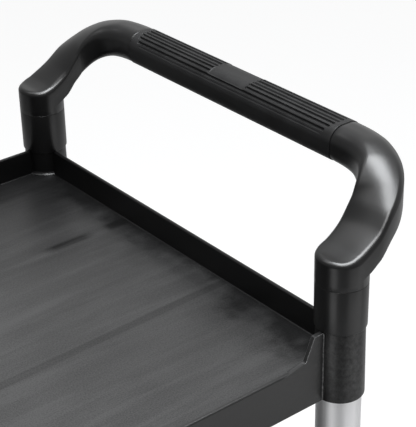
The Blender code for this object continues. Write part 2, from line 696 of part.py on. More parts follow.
def nut_mesh():
    """The lock nut outside the fork's +Y leg."""
    nut = prism(hexagon(NUT_WIDTH), AXLE_SEAT, AXLE_SEAT + NUT_HEIGHT, "XZ")
    return carved(nut, [("DIFFERENCE", axle_bore())], "nut")


def screw_mesh():
    """A pan-head screw pointing to -X through the handle's sleeve at x = 0 into the post."""
    seat = COLLAR_RADIUS + FIT_GAP
    head = seat + SCREW_HEAD_HEIGHT
    tip = seat - SCREW_LENGTH
    solid = turned([
        (0, tip), (SCREW_RADIUS, tip), (SCREW_RADIUS, seat), (SCREW_HEAD_RADIUS, seat),
        (SCREW_HEAD_RADIUS * SCREW_HEAD_TAPER, head), (0, head)], SCREW_STEPS, "X", SCREW_PHASE)
    return finish_mesh(moved(solid, z=TOP_RIM + HANDLE_SCREW_HEIGHT), "screw")


def build():
    """Make every piece and put it in its place."""
    clear_scene()
    resin = material("black_resin", (0.022, 0.022, 0.024), 0.55)
    gloss = material("satin_black_handle", (0.02, 0.02, 0.022), 0.32)
    rubber = material("grip_rubber", (0.025, 0.025, 0.026), 0.75)
    aluminium = material("brushed_aluminium", (0.78, 0.78, 0.79), 0.35, 1.0)
    steel = material("zinc_plated_steel", (0.62, 0.62, 0.64), 0.35, 1.0)
    tread = material("grey_tyre", (0.09, 0.09, 0.095), 0.7)
    core = material("wheel_core", (0.05, 0.05, 0.052), 0.5)

    tray = tray_mesh()
    for name, base in zip(("bottom_tray", "middle_tray", "top_tray"), TRAY_BASES):
        place(name, tray, resin, (0, 0, base))

    foot = WEB_TOP + FIT_GAP
    tube_top = TRAY_PITCH + SOCKET_WEB_HEIGHT - FIT_GAP
    tube = finish_mesh(ring(TUBE_RADIUS, TUBE_RADIUS - TUBE_WALL, foot, tube_top), "tube")
    collar = finish_mesh(ring(COLLAR_RADIUS, SOCKET_RADIUS, TOP_RIM, TOP_RIM + COLLAR_HEIGHT), "collar")
    on_corner = (
        ("lower_tube_", tube, aluminium, TRAY_BASES[0]),
        ("upper_tube_", tube, aluminium, TRAY_BASES[1]),
        ("handle_post_", post_mesh(), aluminium, 0.0),
        ("collar_", collar, resin, 0.0),
        ("handle_screw_", screw_mesh(), steel, 0.0),
        ("caster_plug_", plug_mesh(), resin, 0.0),
        ("caster_stem_", stem_mesh(), steel, 0.0),
    )
    on_swivel = (("swivel_race_", race_mesh(), steel), ("fork_", fork_mesh(), steel))
    on_axle = (("wheel_hub_", hub_mesh(), core), ("tyre_", tyre_mesh(), tread),
               ("axle_bolt_", bolt_mesh(), steel), ("axle_nut_", nut_mesh(), steel))
    for corner, (x, y) in CORNERS.items():
        turn = 0.0 if x > 0 else math.pi
        for name, mesh, made_of, height in on_corner:
            place(name + corner, mesh, made_of, (x, y, height), turn)
        swivel = place("swivel_" + corner, None, None, (x, y, 0))
        for name, mesh, made_of in on_swivel:
            place(name + corner, mesh, made_of, parent=swivel)
        axle = place("axle_" + corner, None, None, (-CASTER_TRAIL, 0, WHEEL_RADIUS), parent=swivel)
        for name, mesh, made_of in on_axle:
            place(name + corner, mesh, made_of, parent=axle)

    handle = handle_mesh()
    grip = grip_mesh()
    for end, x, turn in (("front", HALF_X, 0.0), ("rear", -HALF_X, math.pi)):
        place("handle_" + end, handle, gloss, (x, 0, 0), turn)
        place("grip_" + end, grip, rubber, (x, 0, 0), turn)


build()
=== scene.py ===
# %% [markdown]
# # A three-tray service cart
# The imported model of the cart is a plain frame: every tray, tube, handle and caster is there, at
# its real size and place, with few faces. This lesson dresses it. Each piece gets a finer mesh in
# the same place, and a finish made of shader nodes. The frame comes first, because each piece rides
# on it.

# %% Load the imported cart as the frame
import json
from math import asin, copysign, cos, pi, radians, sin, sqrt, tan

import bmesh
import bpy
from mathutils import Matrix, Quaternion, Vector

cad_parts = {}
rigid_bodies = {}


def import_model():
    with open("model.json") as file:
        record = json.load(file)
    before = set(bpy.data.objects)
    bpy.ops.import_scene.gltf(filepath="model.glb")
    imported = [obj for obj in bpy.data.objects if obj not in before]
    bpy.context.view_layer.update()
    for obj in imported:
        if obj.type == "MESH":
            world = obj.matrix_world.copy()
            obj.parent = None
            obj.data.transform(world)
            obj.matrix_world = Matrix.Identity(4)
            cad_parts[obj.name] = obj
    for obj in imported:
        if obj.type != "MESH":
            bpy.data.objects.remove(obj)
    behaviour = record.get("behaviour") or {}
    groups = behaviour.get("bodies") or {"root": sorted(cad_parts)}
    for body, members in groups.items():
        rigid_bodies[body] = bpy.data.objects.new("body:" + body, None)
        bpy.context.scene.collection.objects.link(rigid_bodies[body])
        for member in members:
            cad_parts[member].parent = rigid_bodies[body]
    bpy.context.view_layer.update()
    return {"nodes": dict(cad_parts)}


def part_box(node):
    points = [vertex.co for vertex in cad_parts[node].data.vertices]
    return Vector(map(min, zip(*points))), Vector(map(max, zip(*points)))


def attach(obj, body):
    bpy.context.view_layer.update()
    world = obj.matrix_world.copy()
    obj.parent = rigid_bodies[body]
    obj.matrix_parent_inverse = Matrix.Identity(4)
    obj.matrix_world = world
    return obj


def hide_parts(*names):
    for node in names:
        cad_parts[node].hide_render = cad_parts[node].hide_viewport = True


for leftover in list(bpy.data.objects):
    bpy.data.objects.remove(leftover, do_unlink=True)
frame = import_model()

# %% [markdown]
# Sizes are in millimetres, and the helpers turn them into Blender's metres. The main ones are read
# from the frame, so that the fine pieces sit where the plain ones are: a post stands at the middle
# of its collar, and the rim of the top tray is where a collar starts.

# %% Measure the frame
MM = 0.001
CORNERS = ("front_left", "front_right", "rear_left", "rear_right")


def box(node):
    """The lowest and highest corner of a node's box, in millimetres."""
    low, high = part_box(node)
    return low / MM, high / MM


def middle(node):
    low, high = box(node)
    return (low + high) / 2


def heights(node):
    low, high = box(node)
    return low.z, high.z


POST = {corner: middle("collar_" + corner) for corner in CORNERS}
HALF_X, HALF_Y = POST["front_left"].xy
RIM, COLLAR_TOP = heights("collar_front_left")
TRAY_DEPTH = RIM - heights("top_tray")[0]
print("Posts stand at", round(HALF_X, 1), round(HALF_Y, 1), "and the top rim is at", round(RIM, 1))

# %% [markdown]
# Most pieces of this cart are turned, swept or extruded, so a few helpers make nearly all of them.
# `skin` joins rings of points into a surface. `lathe` turns a profile about an axis. `soften`
# rounds the corners of an outline, because no moulded or pressed edge is ever quite sharp, and it
# is the rounded edge that catches the light.

# %% Helpers for rings, lathes and outlines
AXIS_TURN = {"X": Matrix.Rotation(pi / 2, 4, "Y"), "Y": Matrix.Rotation(-pi / 2, 4, "X"),
             "Z": Matrix()}


def arc(steps, start=0.0, end=pi / 2):
    """The sine and cosine of evenly spaced angles."""
    angles = [start + (end - start) * i / steps for i in range(steps + 1)]
    return [(sin(angle), cos(angle)) for angle in angles]


def skin(rings, loop=False, caps=False):
    """Join rings of points with faces, and cap or close the run."""
    bm = bmesh.new()
    rows = [[bm.verts.new([value * MM for value in point]) for point in ring] for ring in rings]
    for before, after in zip(rows, rows[1:] + (rows[:1] if loop else [])):
        for i in range(len(before)):
            j = (i + 1) % len(before)
            bm.faces.new((before[i], before[j], after[j], after[i]))
    if caps:
        bm.faces.new(rows[0][::-1])
        bm.faces.new(rows[-1])
    # Double points merge, flat leftovers go, and faces point outwards
    bmesh.ops.remove_doubles(bm, verts=bm.verts, dist=1e-7)
    bmesh.ops.dissolve_degenerate(bm, edges=bm.edges, dist=1e-8)
    bmesh.ops.recalc_face_normals(bm, faces=bm.faces)
    return bm


def soften(outline, radius, steps=3):
    """Round the corners of an outline, all by one radius or each by its own."""
    radii = radius if isinstance(radius, list) else [radius] * len(outline)
    corners = [Vector(corner) for corner in outline]
    points = []
    for i, here in enumerate(corners):
        before = corners[i - 1] - here
        after = corners[(i + 1) % len(corners)] - here
        reach = min(radii[i], before.length * 0.49, after.length * 0.49)
        if reach < 0.001:
            points.append(tuple(here))
            continue
        start = here + before.normalized() * reach
        end = here + after.normalized() * reach
        for t in [step / steps for step in range(steps + 1)]:
            points.append(tuple(start * (1 - t) ** 2 + here * 2 * t * (1 - t) + end * t * t))
    return points


def lathe(profile, steps=64, axis="Z"):
    """Turn a closed profile of (radius, height) points about an axis."""
    bm = skin([[(r * cosine, r * sine, h) for r, h in profile]
               for sine, cosine in arc(steps, 0.0, 2 * pi)[:-1]], loop=True)
    bm.transform(AXIS_TURN[axis])
    return bm


def extrude(outline, low, high, along="X"):
    """Extrude an outline. Along X its points are (y, z), along Y (x, z) and along Z (x, y)."""
    slot = "XYZ".index(along)
    rings = [[(*point[:slot], stop, *point[slot:]) for point in outline] for stop in (low, high)]
    return skin(rings, caps=True)


def gather(parts):
    whole = bmesh.new()
    for part in parts:
        loose = bpy.data.meshes.new("loose")
        part.to_mesh(loose)
        part.free()
        whole.from_mesh(loose)
        bpy.data.meshes.remove(loose)
    return whole


def at(bm, x=0.0, y=0.0, z=0.0, turn=0.0):
    """Turn a solid about Z, then shift it."""
    bm.transform(Matrix.Translation(Vector((x, y, z)) * MM) @ Matrix.Rotation(turn, 4, "Z"))
    return bm


def show(name, data):
    thing = bpy.data.objects.new(name, data)
    bpy.context.scene.collection.objects.link(thing)
    return thing


def mirrored(rings):
    """Rings on the other side of the cart's middle line, in reverse."""
    return [[(x, -y, z) for x, y, z in ring] for ring in reversed(rings)]


def as_mesh(bm, name, *finishes, sharp=32):
    mesh = bpy.data.meshes.new(name)
    bm.to_mesh(mesh)
    bm.free()
    mesh.shade_smooth()
    mesh.set_sharp_from_angle(angle=radians(sharp))
    for finish in finishes:
        mesh.materials.append(finish.material)
    return mesh


print("Helpers ready.")

# %% [markdown]
# A fine piece stands in for a node of the frame and rides on its body. Most pieces are there once
# at each post, and the handles and grips once at each end.

# %% Fit the fine pieces to the frame
fitted = []


def fit(mesh, node, body, slot, place, turn=0.0):
    piece = show(node + "_fine", mesh)
    piece.location = Vector(place) * MM
    piece.rotation_euler = (0, 0, turn)
    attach(piece, body)
    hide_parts(node)
    fitted.append(piece)


def fit_corners(*rows, back=0.0):
    """Fit pieces at every post. Only the cart's own body has no corner in its name."""
    for corner in CORNERS:
        x, y = POST[corner].xy
        for mesh, kind, body, slot, z in rows:
            on = body if body == "cart" else body + corner
            fit(mesh, kind + corner, on, slot, (x - back, y, z))


def fit_ends(mesh, kind, slot):
    """Fit a piece at the front, and turned half round at the rear."""
    fit(mesh, kind + "front", "cart", slot, (HALF_X, 0, 0))
    fit(mesh, kind + "rear", "cart", slot, (-HALF_X, 0, 0), pi)


print("Pieces can be fitted.")

# %% [markdown]
# ## Finishes
# The trays and the handles are black plastic, but not the same black. The trays are moulded with a
# fine dull grain, and rubbing goods leave pale streaks on them. The handles are smooth and satin,
# so they hold clear highlights. A small kit of nodes makes them all: noise at one scale for the
# grain, at a larger one for the cloudiness, and a ramp that turns either into a useful range.

# %% A kit for shader nodes
class Nodes:
    """Short calls for the nodes of a tree."""

    def __init__(self, tree, place="Object"):
        self.tree = tree
        self.place = self.node("TexCoord", {}, place)

    def node(self, kind, inputs, output, **settings):
        """One output of a new node. Each input is a plain value or another node's output."""
        new = self.tree.nodes.new("ShaderNode" + kind)
        for key, value in settings.items():
            setattr(new, key, value)
        for name, value in inputs.items():
            if isinstance(value, bpy.types.NodeSocket):
                self.tree.links.new(value, new.inputs[name])
            else:
                new.inputs[name].default_value = value
        return new.outputs[output]

    def noise(self, scale, detail=2.0, rough=0.5, stretch=None, turn=0.0):
        """Noise, which may be turned about Z and squeezed along each axis."""
        place = self.place
        if stretch:
            place = self.node("Mapping", {"Vector": place, "Scale": stretch,
                                          "Rotation": (0, 0, turn)}, "Vector")
        return self.node("TexNoise", {"Vector": place, "Scale": scale, "Detail": detail,
                                      "Roughness": rough}, "Fac")

    def pebbles(self, scale):
        return self.node("TexVoronoi", {"Vector": self.place, "Scale": scale}, "Distance",
                         feature="SMOOTH_F1")

    def map(self, source, low, high, to_low=0.0, to_high=1.0):
        """Map a value from one range to another and hold it there."""
        return self.node("MapRange", {"Value": source, "From Min": low, "From Max": high,
                                      "To Min": to_low, "To Max": to_high}, "Result")

    def math(self, operation, one, two):
        return self.node("Math", {0: one, 1: two}, "Value", operation=operation)

    def add(self, one, two):
        return self.math("ADD", one, two)

    def times(self, one, two):
        return self.math("MULTIPLY", one, two)

    def axis(self, name):
        return self.node("SeparateXYZ", {"Vector": self.place}, name)

    def between(self, source, low, high, soft):
        """One between two values and nought outside, with soft edges."""
        return self.times(self.map(source, low - soft, low + soft),
                          self.map(source, high - soft, high + soft, 1.0, 0.0))


class Finish(Nodes):
    """A material with a Principled shader."""

    def __init__(self, name, colour, roughness, **sockets):
        self.name = name
        self.material = bpy.data.materials.new(name)
        self.material.use_nodes = True
        super().__init__(self.material.node_tree)
        self.shader = self.tree.nodes["Principled BSDF"]
        values = {"Base_Color": (*colour, 1), "Roughness": roughness, **sockets}
        for socket, value in values.items():
            self.shader.inputs[socket.replace("_", " ")].default_value = value
        self.material.diffuse_color = (*colour, 1)

    def drive(self, socket, source):
        self.tree.links.new(source, self.shader.inputs[socket])

    def tint(self, factor, dark, light):
        ends = {"Factor": factor, "A": (*dark, 1), "B": (*light, 1)}
        self.drive("Base Color", self.node("Mix", ends, "Result", data_type="RGBA"))

    def bump(self, height, depth, strength):
        """Raise the surface by a height, whose full range is a depth in metres."""
        self.drive("Normal", self.node("Bump", {"Height": height, "Strength": strength,
                                                "Distance": depth}, "Normal"))

    def pebble_grain(self, scale, fine_scale, depth, strength):
        self.bump(self.add(self.pebbles(scale), self.noise(fine_scale)), depth, strength)

    def cloud(self, scale, detail, rough, pale, dark, light):
        """Let the dullness and the colour follow one slow noise."""
        drift = self.noise(scale, detail)
        self.drive("Roughness", self.map(drift, 0.3, 0.7, *rough))
        self.tint(self.map(drift, *pale), dark, light)


print("Node kit ready.")

# %% [markdown]
# The grained black of the trays: tiny pebbles with a little finer noise make the bump, and a slow
# noise makes some patches duller than others. The colour hardly changes, as the resin is dyed
# through. The outside faces get a paler, glossier copy of the resin: that is painted light, from
# the pale floor below. On it, worn patches are strongest at the corners. The thin edges by the
# posts are painted pale in flecks, partly for rubbing and partly as painted highlight.

# %% Tray resin, its outside with painted light, and its edges with painted highlight
TRAY_RESIN = Finish("tray_resin", (0.003, 0.003, 0.0031), 0.31, Specular_IOR_Level=0.32)
TRAY_RESIN.cloud(9.0, 4.0, (0.28, 0.34), (0.35, 0.75), (0.002, 0.002, 0.0021),
                 (0.004, 0.004, 0.0041))


# Painted light: the whole outside is paler and glossier than the resin inside, and the noise
# patches on it are wear
def worn_and_lit_patches(finish):
    corner = [finish.map(finish.math("ABSOLUTE", finish.axis(axis), 0), low, high, 0.12, 1.0)
              for axis, low, high in (("X", 0.384, 0.4), ("Y", 0.196, 0.206))]
    patches = finish.map(finish.noise(240.0, 6.0, 0.75), 0.34, 0.66, -0.36, 0.36)
    patches = finish.add(finish.times(patches, finish.times(*corner)), 0.5)
    finish.tint(patches, (0.003, 0.003, 0.0031), (0.016, 0.016, 0.0162))
    finish.drive("Roughness", finish.map(patches, 0.0, 1.0, 0.4, 0.3))
    finish.drive("Specular IOR Level", finish.map(patches, 0.0, 1.0, 0.35, 0.75))


TRAY_OUTSIDE_LIT = Finish("tray_outside_lit", (0.006, 0.006, 0.0061), 0.33, Specular_IOR_Level=0.55)
worn_and_lit_patches(TRAY_OUTSIDE_LIT)
for resin in (TRAY_RESIN, TRAY_OUTSIDE_LIT):
    resin.pebble_grain(900.0, 1500.0, 0.00006, 0.5)

# Painted highlight, partly rubbing: pale flecks on the wing bevels and the seam beads
EDGE_HIGHLIGHT_AND_RUB = Finish("edge_highlight_and_rub", (0.08, 0.08, 0.081), 0.45)
EDGE_HIGHLIGHT_AND_RUB.tint(EDGE_HIGHLIGHT_AND_RUB.map(EDGE_HIGHLIGHT_AND_RUB.noise(260.0, 5.0, 0.7), 0.38, 0.68),
                 (0.02, 0.02, 0.0202), (0.24, 0.24, 0.242))
EDGE_HIGHLIGHT_AND_RUB.bump(EDGE_HIGHLIGHT_AND_RUB.noise(900.0, 3.0), 0.00008, 0.5)
print("Made", TRAY_RESIN.name, TRAY_OUTSIDE_LIT.name, EDGE_HIGHLIGHT_AND_RUB.name)

# %% [markdown]
# The floor of a tray is where goods slide, so it carries the marks: cloudy wear, streaks brushed
# along the tray and across it at a slant, one long darker band, a short mark beyond the middle, and
# three pale spots by the end wall. By the end walls and the closed side the floor is darker and
# less glossy: that is painted shade, and a painted reflection of the dark walls. Each mark is a
# soft-edged range of a coordinate, and all are added up into one value that sets colour and gloss.

# %% The worn face of the tray floor, with painted shade by the walls
BAND = (-0.0965, -0.0875, 0.0008)  # from, to, softness
BAND_LEAN = 0.027
MARK_ACROSS = (0.067, 0.078, 0.0022)
MARK_ALONG = ((0.319, 0.366, 0.007), (0.387, 0.42, 0.003))
PALE_SPOTS_ALONG = (0.392, 0.4035, 0.004)
PALE_SPOTS_ACROSS = (0.103, -0.007, -0.2)


def wear_and_shade_floor(finish):
    noise, ramp, between = finish.noise, finish.map, finish.between
    add, times = finish.add, finish.times
    x, y = finish.axis("X"), finish.axis("Y")
    # Cloudy wear and brushed streaks
    wear = add(ramp(noise(8.0, 6.0), 0.3, 0.7, 0.0, 0.3),
               ramp(noise(5.0, 9.0, 0.7, (1, 26, 1)), 0.35, 0.65, 0.15, 0.29))
    wear = add(wear, ramp(noise(6.0, 7.0, 0.6, (1, 11, 1), 0.42), 0.5, 0.72, 0.0, 0.3))
    # The long band and the short mark
    lean = finish.math("SUBTRACT", y, times(x, BAND_LEAN))
    mark = times(between(y, *MARK_ACROSS), add(*[between(x, *span) for span in MARK_ALONG]))
    marks = add(times(between(lean, *BAND), 0.2), times(mark, 0.55))
    # Painted shade: the floor is darker and less glossy by the end walls and the closed side
    patchy = times(finish.math("SUBTRACT", noise(14.0, 5.0, 0.6), 0.5), 0.16)
    wall_near = add(finish.math("ABSOLUTE", x, 0), patchy)
    edge = times(ramp(wall_near, 0.35, 0.415, 1.0, 0.62), ramp(wall_near, 0.382, 0.41, 1.0, 0.45))
    edge = times(edge, ramp(y, 0.05, 0.22, 1.0, 0.5))
    # Three pale spots by the end wall
    spots = [between(y, spot - 0.003, spot + 0.003, 0.0035) for spot in PALE_SPOTS_ACROSS]
    pale_spots = times(between(x, *PALE_SPOTS_ALONG), add(add(spots[0], spots[1]), spots[2]))
    wear_and_wall_shade = times(finish.math("SUBTRACT", add(wear, 0.45), marks), edge)
    grain = noise(750.0, 3.0)
    wear_and_wall_shade = times(add(wear_and_wall_shade, times(pale_spots, 0.3)), ramp(grain, 0.3, 0.7, 0.7, 1.3))
    finish.tint(wear_and_wall_shade, (0.002, 0.002, 0.0021), (0.013, 0.013, 0.0132))
    finish.drive("Specular IOR Level", ramp(wear_and_wall_shade, 0.2, 1.2, 0.2, 1.0))
    finish.drive("Roughness", ramp(wear_and_wall_shade, 0.2, 1.2, 0.34, 0.42))
    finish.bump(add(finish.pebbles(700.0), grain), 0.00008, 0.5)


TRAY_FLOOR = Finish("tray_floor", (0.010, 0.010, 0.0102), 0.36, Specular_IOR_Level=0.6)
wear_and_shade_floor(TRAY_FLOOR)
print("Made", TRAY_FLOOR.name)

# %% [markdown]
# The handle is moulded in a polished tool, so its grain is almost too fine to see. A weak bump
# keeps the highlights from looking like glass. The rubber of the grip is duller, with a rough
# grain.

# %% Handle plastic and grip rubber
HANDLE_SATIN = Finish("handle_satin", (0.003, 0.003, 0.0031), 0.3, Specular_IOR_Level=0.58)
HANDLE_SATIN.cloud(22.0, 3.0, (0.30, 0.35), (0.3, 0.7), (0.002, 0.002, 0.0021),
                   (0.004, 0.004, 0.0042))
HANDLE_SATIN.bump(HANDLE_SATIN.noise(1400.0, 3.0), 0.00003, 0.25)

GRIP_RUBBER = Finish("grip_rubber", (0.009, 0.009, 0.0092), 0.55, Specular_IOR_Level=0.33)
GRIP_RUBBER.cloud(60.0, 4.0, (0.48, 0.60), (0.3, 0.75), (0.006, 0.006, 0.0062),
                  (0.014, 0.014, 0.0144))
GRIP_RUBBER.pebble_grain(1100.0, 1700.0, 0.00007, 0.6)
print("Made", HANDLE_SATIN.name, "and", GRIP_RUBBER.name)

# %% [markdown]
# The posts are drawn aluminium. Drawing leaves fine lines along the tube, so the noise is squeezed
# across the tube and stretched along it. The casters are pressed steel under bright zinc, which has
# a faint cloudy spangle and a touch of yellow. The wheels have a moulded core and a grey tyre.

# %% Metals, tyre and wheel core
ALUMINIUM = Finish("drawn_aluminium", (0.91, 0.91, 0.92), 0.5, Metallic=1.0)
lines = ALUMINIUM.noise(900.0, 3.0, stretch=(1, 1, 0.01))
ALUMINIUM.drive("Roughness", ALUMINIUM.map(lines, 0.3, 0.7, 0.44, 0.56))
ALUMINIUM.tint(ALUMINIUM.noise(14.0, 3.0), (0.86, 0.86, 0.87), (0.95, 0.95, 0.96))
ALUMINIUM.bump(lines, 0.00004, 0.3)

ZINC = Finish("bright_zinc", (0.66, 0.66, 0.66), 0.3, Metallic=1.0)
ZINC.drive("Roughness", ZINC.map(ZINC.noise(120.0, 4.0), 0.3, 0.7, 0.24, 0.42))
ZINC.tint(ZINC.noise(35.0, 4.0), (0.58, 0.58, 0.57), (0.72, 0.71, 0.69))
ZINC.bump(ZINC.noise(600.0), 0.00003, 0.4)

TYRE = Finish("tyre_rubber", (0.18, 0.18, 0.185), 0.65)
TYRE.cloud(50.0, 5.0, (0.58, 0.74), (0.35, 0.7), (0.15, 0.15, 0.155), (0.22, 0.218, 0.213))
TYRE.bump(TYRE.noise(800.0, 4.0), 0.00012, 0.5)

CORE = Finish("wheel_core", (0.035, 0.035, 0.037), 0.45)
CORE.tint(CORE.noise(40.0, 3.0), (0.028, 0.028, 0.03), (0.045, 0.045, 0.047))
CORE.bump(CORE.pebbles(900.0), 0.00005, 0.5)
print("Made", ALUMINIUM.name, ZINC.name, TYRE.name, CORE.name)

# %% [markdown]
# ## The trays
# One tool moulds all three trays. A tray is a ribbed floor with a lip on three sides. The fourth
# side is open: there the floor rolls over into a skirt. Each wall is an extruded section with a
# rounded rim and a small fillet at its foot, where the photograph shows a thin line of light.

# %% Walls with a rounded rim, and the open side
FLOOR = 44.0
FLOOR_UNDER = 40.5
LIP = 3.8
DRAFT = 1.7
SKIRT = 3.4
FILLET = 1.3
ROLL = 3.0
OPEN_OUT = 3.0
OPEN_Y = -HALF_Y - OPEN_OUT
BOSS = 22.5
BOSS_TOP = 21.6
SOCKET = 20.35
REACH = 20.9


def wall(half, **place):
    """A wall and its skirt along X, with the outer face at y = 0 and the tray on the -Y side."""
    foot = LIP + DRAFT
    inner = foot + FILLET * 1.8
    outline = [(0, 0), (0, TRAY_DEPTH), (-LIP, TRAY_DEPTH), (-foot, FLOOR), (-inner, FLOOR - 0.25),
               (-inner, FLOOR_UNDER), (-SKIRT, FLOOR_UNDER), (-SKIRT, 0)]
    radii = [0.6, 1.3, 1.3, FILLET, 0, 0, 0, 0.6]
    return at(extrude(soften(outline, radii, 4), -half, half), **place)


def open_side():
    inner = OPEN_Y + ROLL + 1
    outline = [(inner, FLOOR), (OPEN_Y, FLOOR), (OPEN_Y, 0), (OPEN_Y + SKIRT, 0),
               (OPEN_Y + SKIRT, FLOOR_UNDER), (inner, FLOOR_UNDER)]
    return extrude(soften(outline, [0, ROLL, 0.6, 0.6, 1.0, 0], 8), -HALF_X + REACH, HALF_X - REACH)


def tray_walls():
    ends = [wall(HALF_Y - REACH, x=side * HALF_X, turn=-side * pi / 2) for side in (1, -1)]
    return [wall(HALF_X - REACH, y=HALF_Y), *ends, open_side()]


print("The lip stands", round(TRAY_DEPTH - FLOOR, 1), "mm over the floor.")

# %% [markdown]
# The floor is one flat plate with a bite out of each corner for the boss there. All its detail is
# in its finish: wear, and painted shade by the walls. A grid of ribs under it, four along the tray
# and seven across, keeps the thin plate flat.

# %% The floor plate and its ribs
RIB_HALF = 1.3


def paint(bm, finish, wanted=lambda face: True):
    """Give one of a tray's finishes, by its number, to the faces that are wanted."""
    for face in bm.faces:
        if wanted(face):
            face.material_index = finish
    return bm


def floor_plate():
    inner_x = HALF_X - LIP - DRAFT - 1
    inner_y = HALF_Y - LIP - DRAFT - 1
    edge_y = OPEN_Y + SKIRT
    outline = []
    for side_x, side_y in ((1, -1), (1, 1), (-1, 1), (-1, -1)):
        notch = []
        for sine, cosine in arc(16):
            y = HALF_Y - REACH * sine
            notch.append((side_x * min(HALF_X - REACH * cosine, inner_x),
                          max(-y, edge_y) if side_y < 0 else min(y, inner_y)))
        outline += notch if side_x * side_y < 0 else notch[::-1]
    return paint(extrude(outline, FLOOR_UNDER, FLOOR, "Z"), 1, lambda face: face.normal.z > 0.9)


def ribs():
    span_x = (SKIRT - HALF_X, HALF_X - SKIRT)
    span_y = (OPEN_Y + SKIRT, HALF_Y - SKIRT)
    grid = []
    for run, across, count, foot, along in ((span_x, span_y, 4, 24.5, "X"),
                                            (span_y, span_x, 7, 26.5, "Y")):
        for i in range(1, count + 1):
            line = across[0] + (across[1] - across[0]) * i / (count + 1)
            outline = [(line - RIB_HALF, FLOOR_UNDER + 1), (line + RIB_HALF, FLOOR_UNDER + 1),
                       (line + RIB_HALF * 0.7, foot), (line - RIB_HALF * 0.7, foot)]
            grid.append(extrude(soften(outline, 0.5, 2), *run, along))
    return grid


print("The floor plate is", FLOOR - FLOOR_UNDER, "mm thick.")

# %% [markdown]
# At each corner a boss holds a post. Its wall leans in a little towards the top, as moulded walls
# do. Inside the tray it meets the floor in a small flare. On the open side a thin wing ties the
# boss to the floor, and a fine raised line runs down where the skirt meets the boss. The wing's
# bevels and the line are painted pale, partly for rubbing and partly as painted highlight.

# %% Bosses, flares, wings and seams
FLARE = 4.2
WING_BEVEL = 0.5
WING_THICK = 4.6


def boss():
    top = TRAY_DEPTH - 0.3
    outline = [(SOCKET, 0), (BOSS, 0), (BOSS_TOP, top), (SOCKET, top)]
    return lathe(soften(outline, [0.4, 1.4, 0.5, 0.4], 4))


def flare(start):
    radius = BOSS + (BOSS_TOP - BOSS) * FLOOR / TRAY_DEPTH
    hollow = [(radius - 0.2 + FLARE * (1 - cosine), FLOOR + FLARE * (1 - sine) + 0.05)
              for sine, cosine in arc(6)[1:]]
    section = [(radius - 1, FLOOR + FLARE), (radius - 0.2, FLOOR + FLARE), *hollow,
               (radius + FLARE, FLOOR - 1), (radius - 1, FLOOR - 1)]
    return skin([[(r * cosine, r * sine, h) for r, h in section]
                 for sine, cosine in arc(16, start, start + pi / 2)], caps=True)


def wing(side):
    edge = HALF_X - BOSS
    foot = FLOOR - 5
    outline = [(edge + 1.6, foot), (edge + 1.6, TRAY_DEPTH - 0.7), (edge - 9.5, TRAY_DEPTH - 0.9),
               (edge - 19.2, FLOOR + 2.8), (edge - 24, FLOOR + 2), (edge - 44, FLOOR - 1.2),
               (edge - 44, foot)]
    outline = [Vector(point) for point in soften(outline, [0, 0, 1.2, 1.5, 2.5, 0.6, 0])]
    centre = Vector((edge - 3, FLOOR + 8))
    rings = []
    for y, inset in ((0.03, WING_BEVEL), (0.03 + WING_BEVEL, 0), (WING_THICK - WING_BEVEL, 0),
                     (WING_THICK, WING_BEVEL)):
        ring = [point + (centre - point).normalized() * inset for point in outline]
        rings.append([(side * x, OPEN_Y + y, z) for x, z in ring])
    # The bevels are painted pale: painted highlight, partly rubbing
    return paint(skin(rings, caps=True), 3, lambda face: 0.2 < abs(face.normal.y) < 0.95)


def seam(side):
    x = HALF_X - sqrt(BOSS ** 2 - OPEN_OUT ** 2) + 0.1
    outline = [(side * x + 0.75 * cosine, OPEN_Y + 0.9 * sine)
               for sine, cosine in arc(12, 0.0, 2 * pi)[:-1]]
    # The bead is painted pale: painted highlight, partly rubbing
    return paint(extrude(outline, 1.0, TRAY_DEPTH - 1.2, "Z"), 3)


def is_outside(face):
    """Whether a face of plain resin is on the outside."""
    x, y = (face.calc_center_median() / MM).xy
    return face.material_index == 0 and (abs(x) > HALF_X - 1 or y > HALF_Y - 1 or y < OPEN_Y + 4)


parts = [*tray_walls(), floor_plate(), *ribs(), wing(1), wing(-1), seam(1), seam(-1)]
for side_x, side_y, quarter in ((1, 1, 2), (1, -1, 1), (-1, 1, -1), (-1, -1, 0)):
    for part in (boss(), flare(quarter * pi / 2)):
        parts.append(at(part, side_x * HALF_X, side_y * HALF_Y))
# The outside faces take the paler copy of the resin, which is painted light from the floor
tray = as_mesh(paint(gather(parts), 2, is_outside), "tray", TRAY_RESIN, TRAY_FLOOR, TRAY_OUTSIDE_LIT,
               EDGE_HIGHLIGHT_AND_RUB)
for name in ("bottom_tray", "middle_tray", "top_tray"):
    fit(tray, name, "cart", "black_resin", (0, 0, heights(name)[0]))
print("A tray has", len(tray.polygons), "faces.")

# %% [markdown]
# ## Posts and collars
# Plain aluminium tubes are pressed between the trays, with their ends hidden in the bosses. On the
# top tray each post wears a black collar, a hair wider than the boss, so a small step shows at the
# rim.

# %% Tubes and collars
TUBE = 20.0
TUBE_BORE = 18.5


def tube_mesh(node):
    """A tube as long as its node, standing on z = 0."""
    low, high = heights(node)
    outline = [(TUBE_BORE, 0), (TUBE, 0), (TUBE, high - low), (TUBE_BORE, high - low)]
    return as_mesh(lathe(soften(outline, 0.3, 2), 96), "tube", ALUMINIUM)


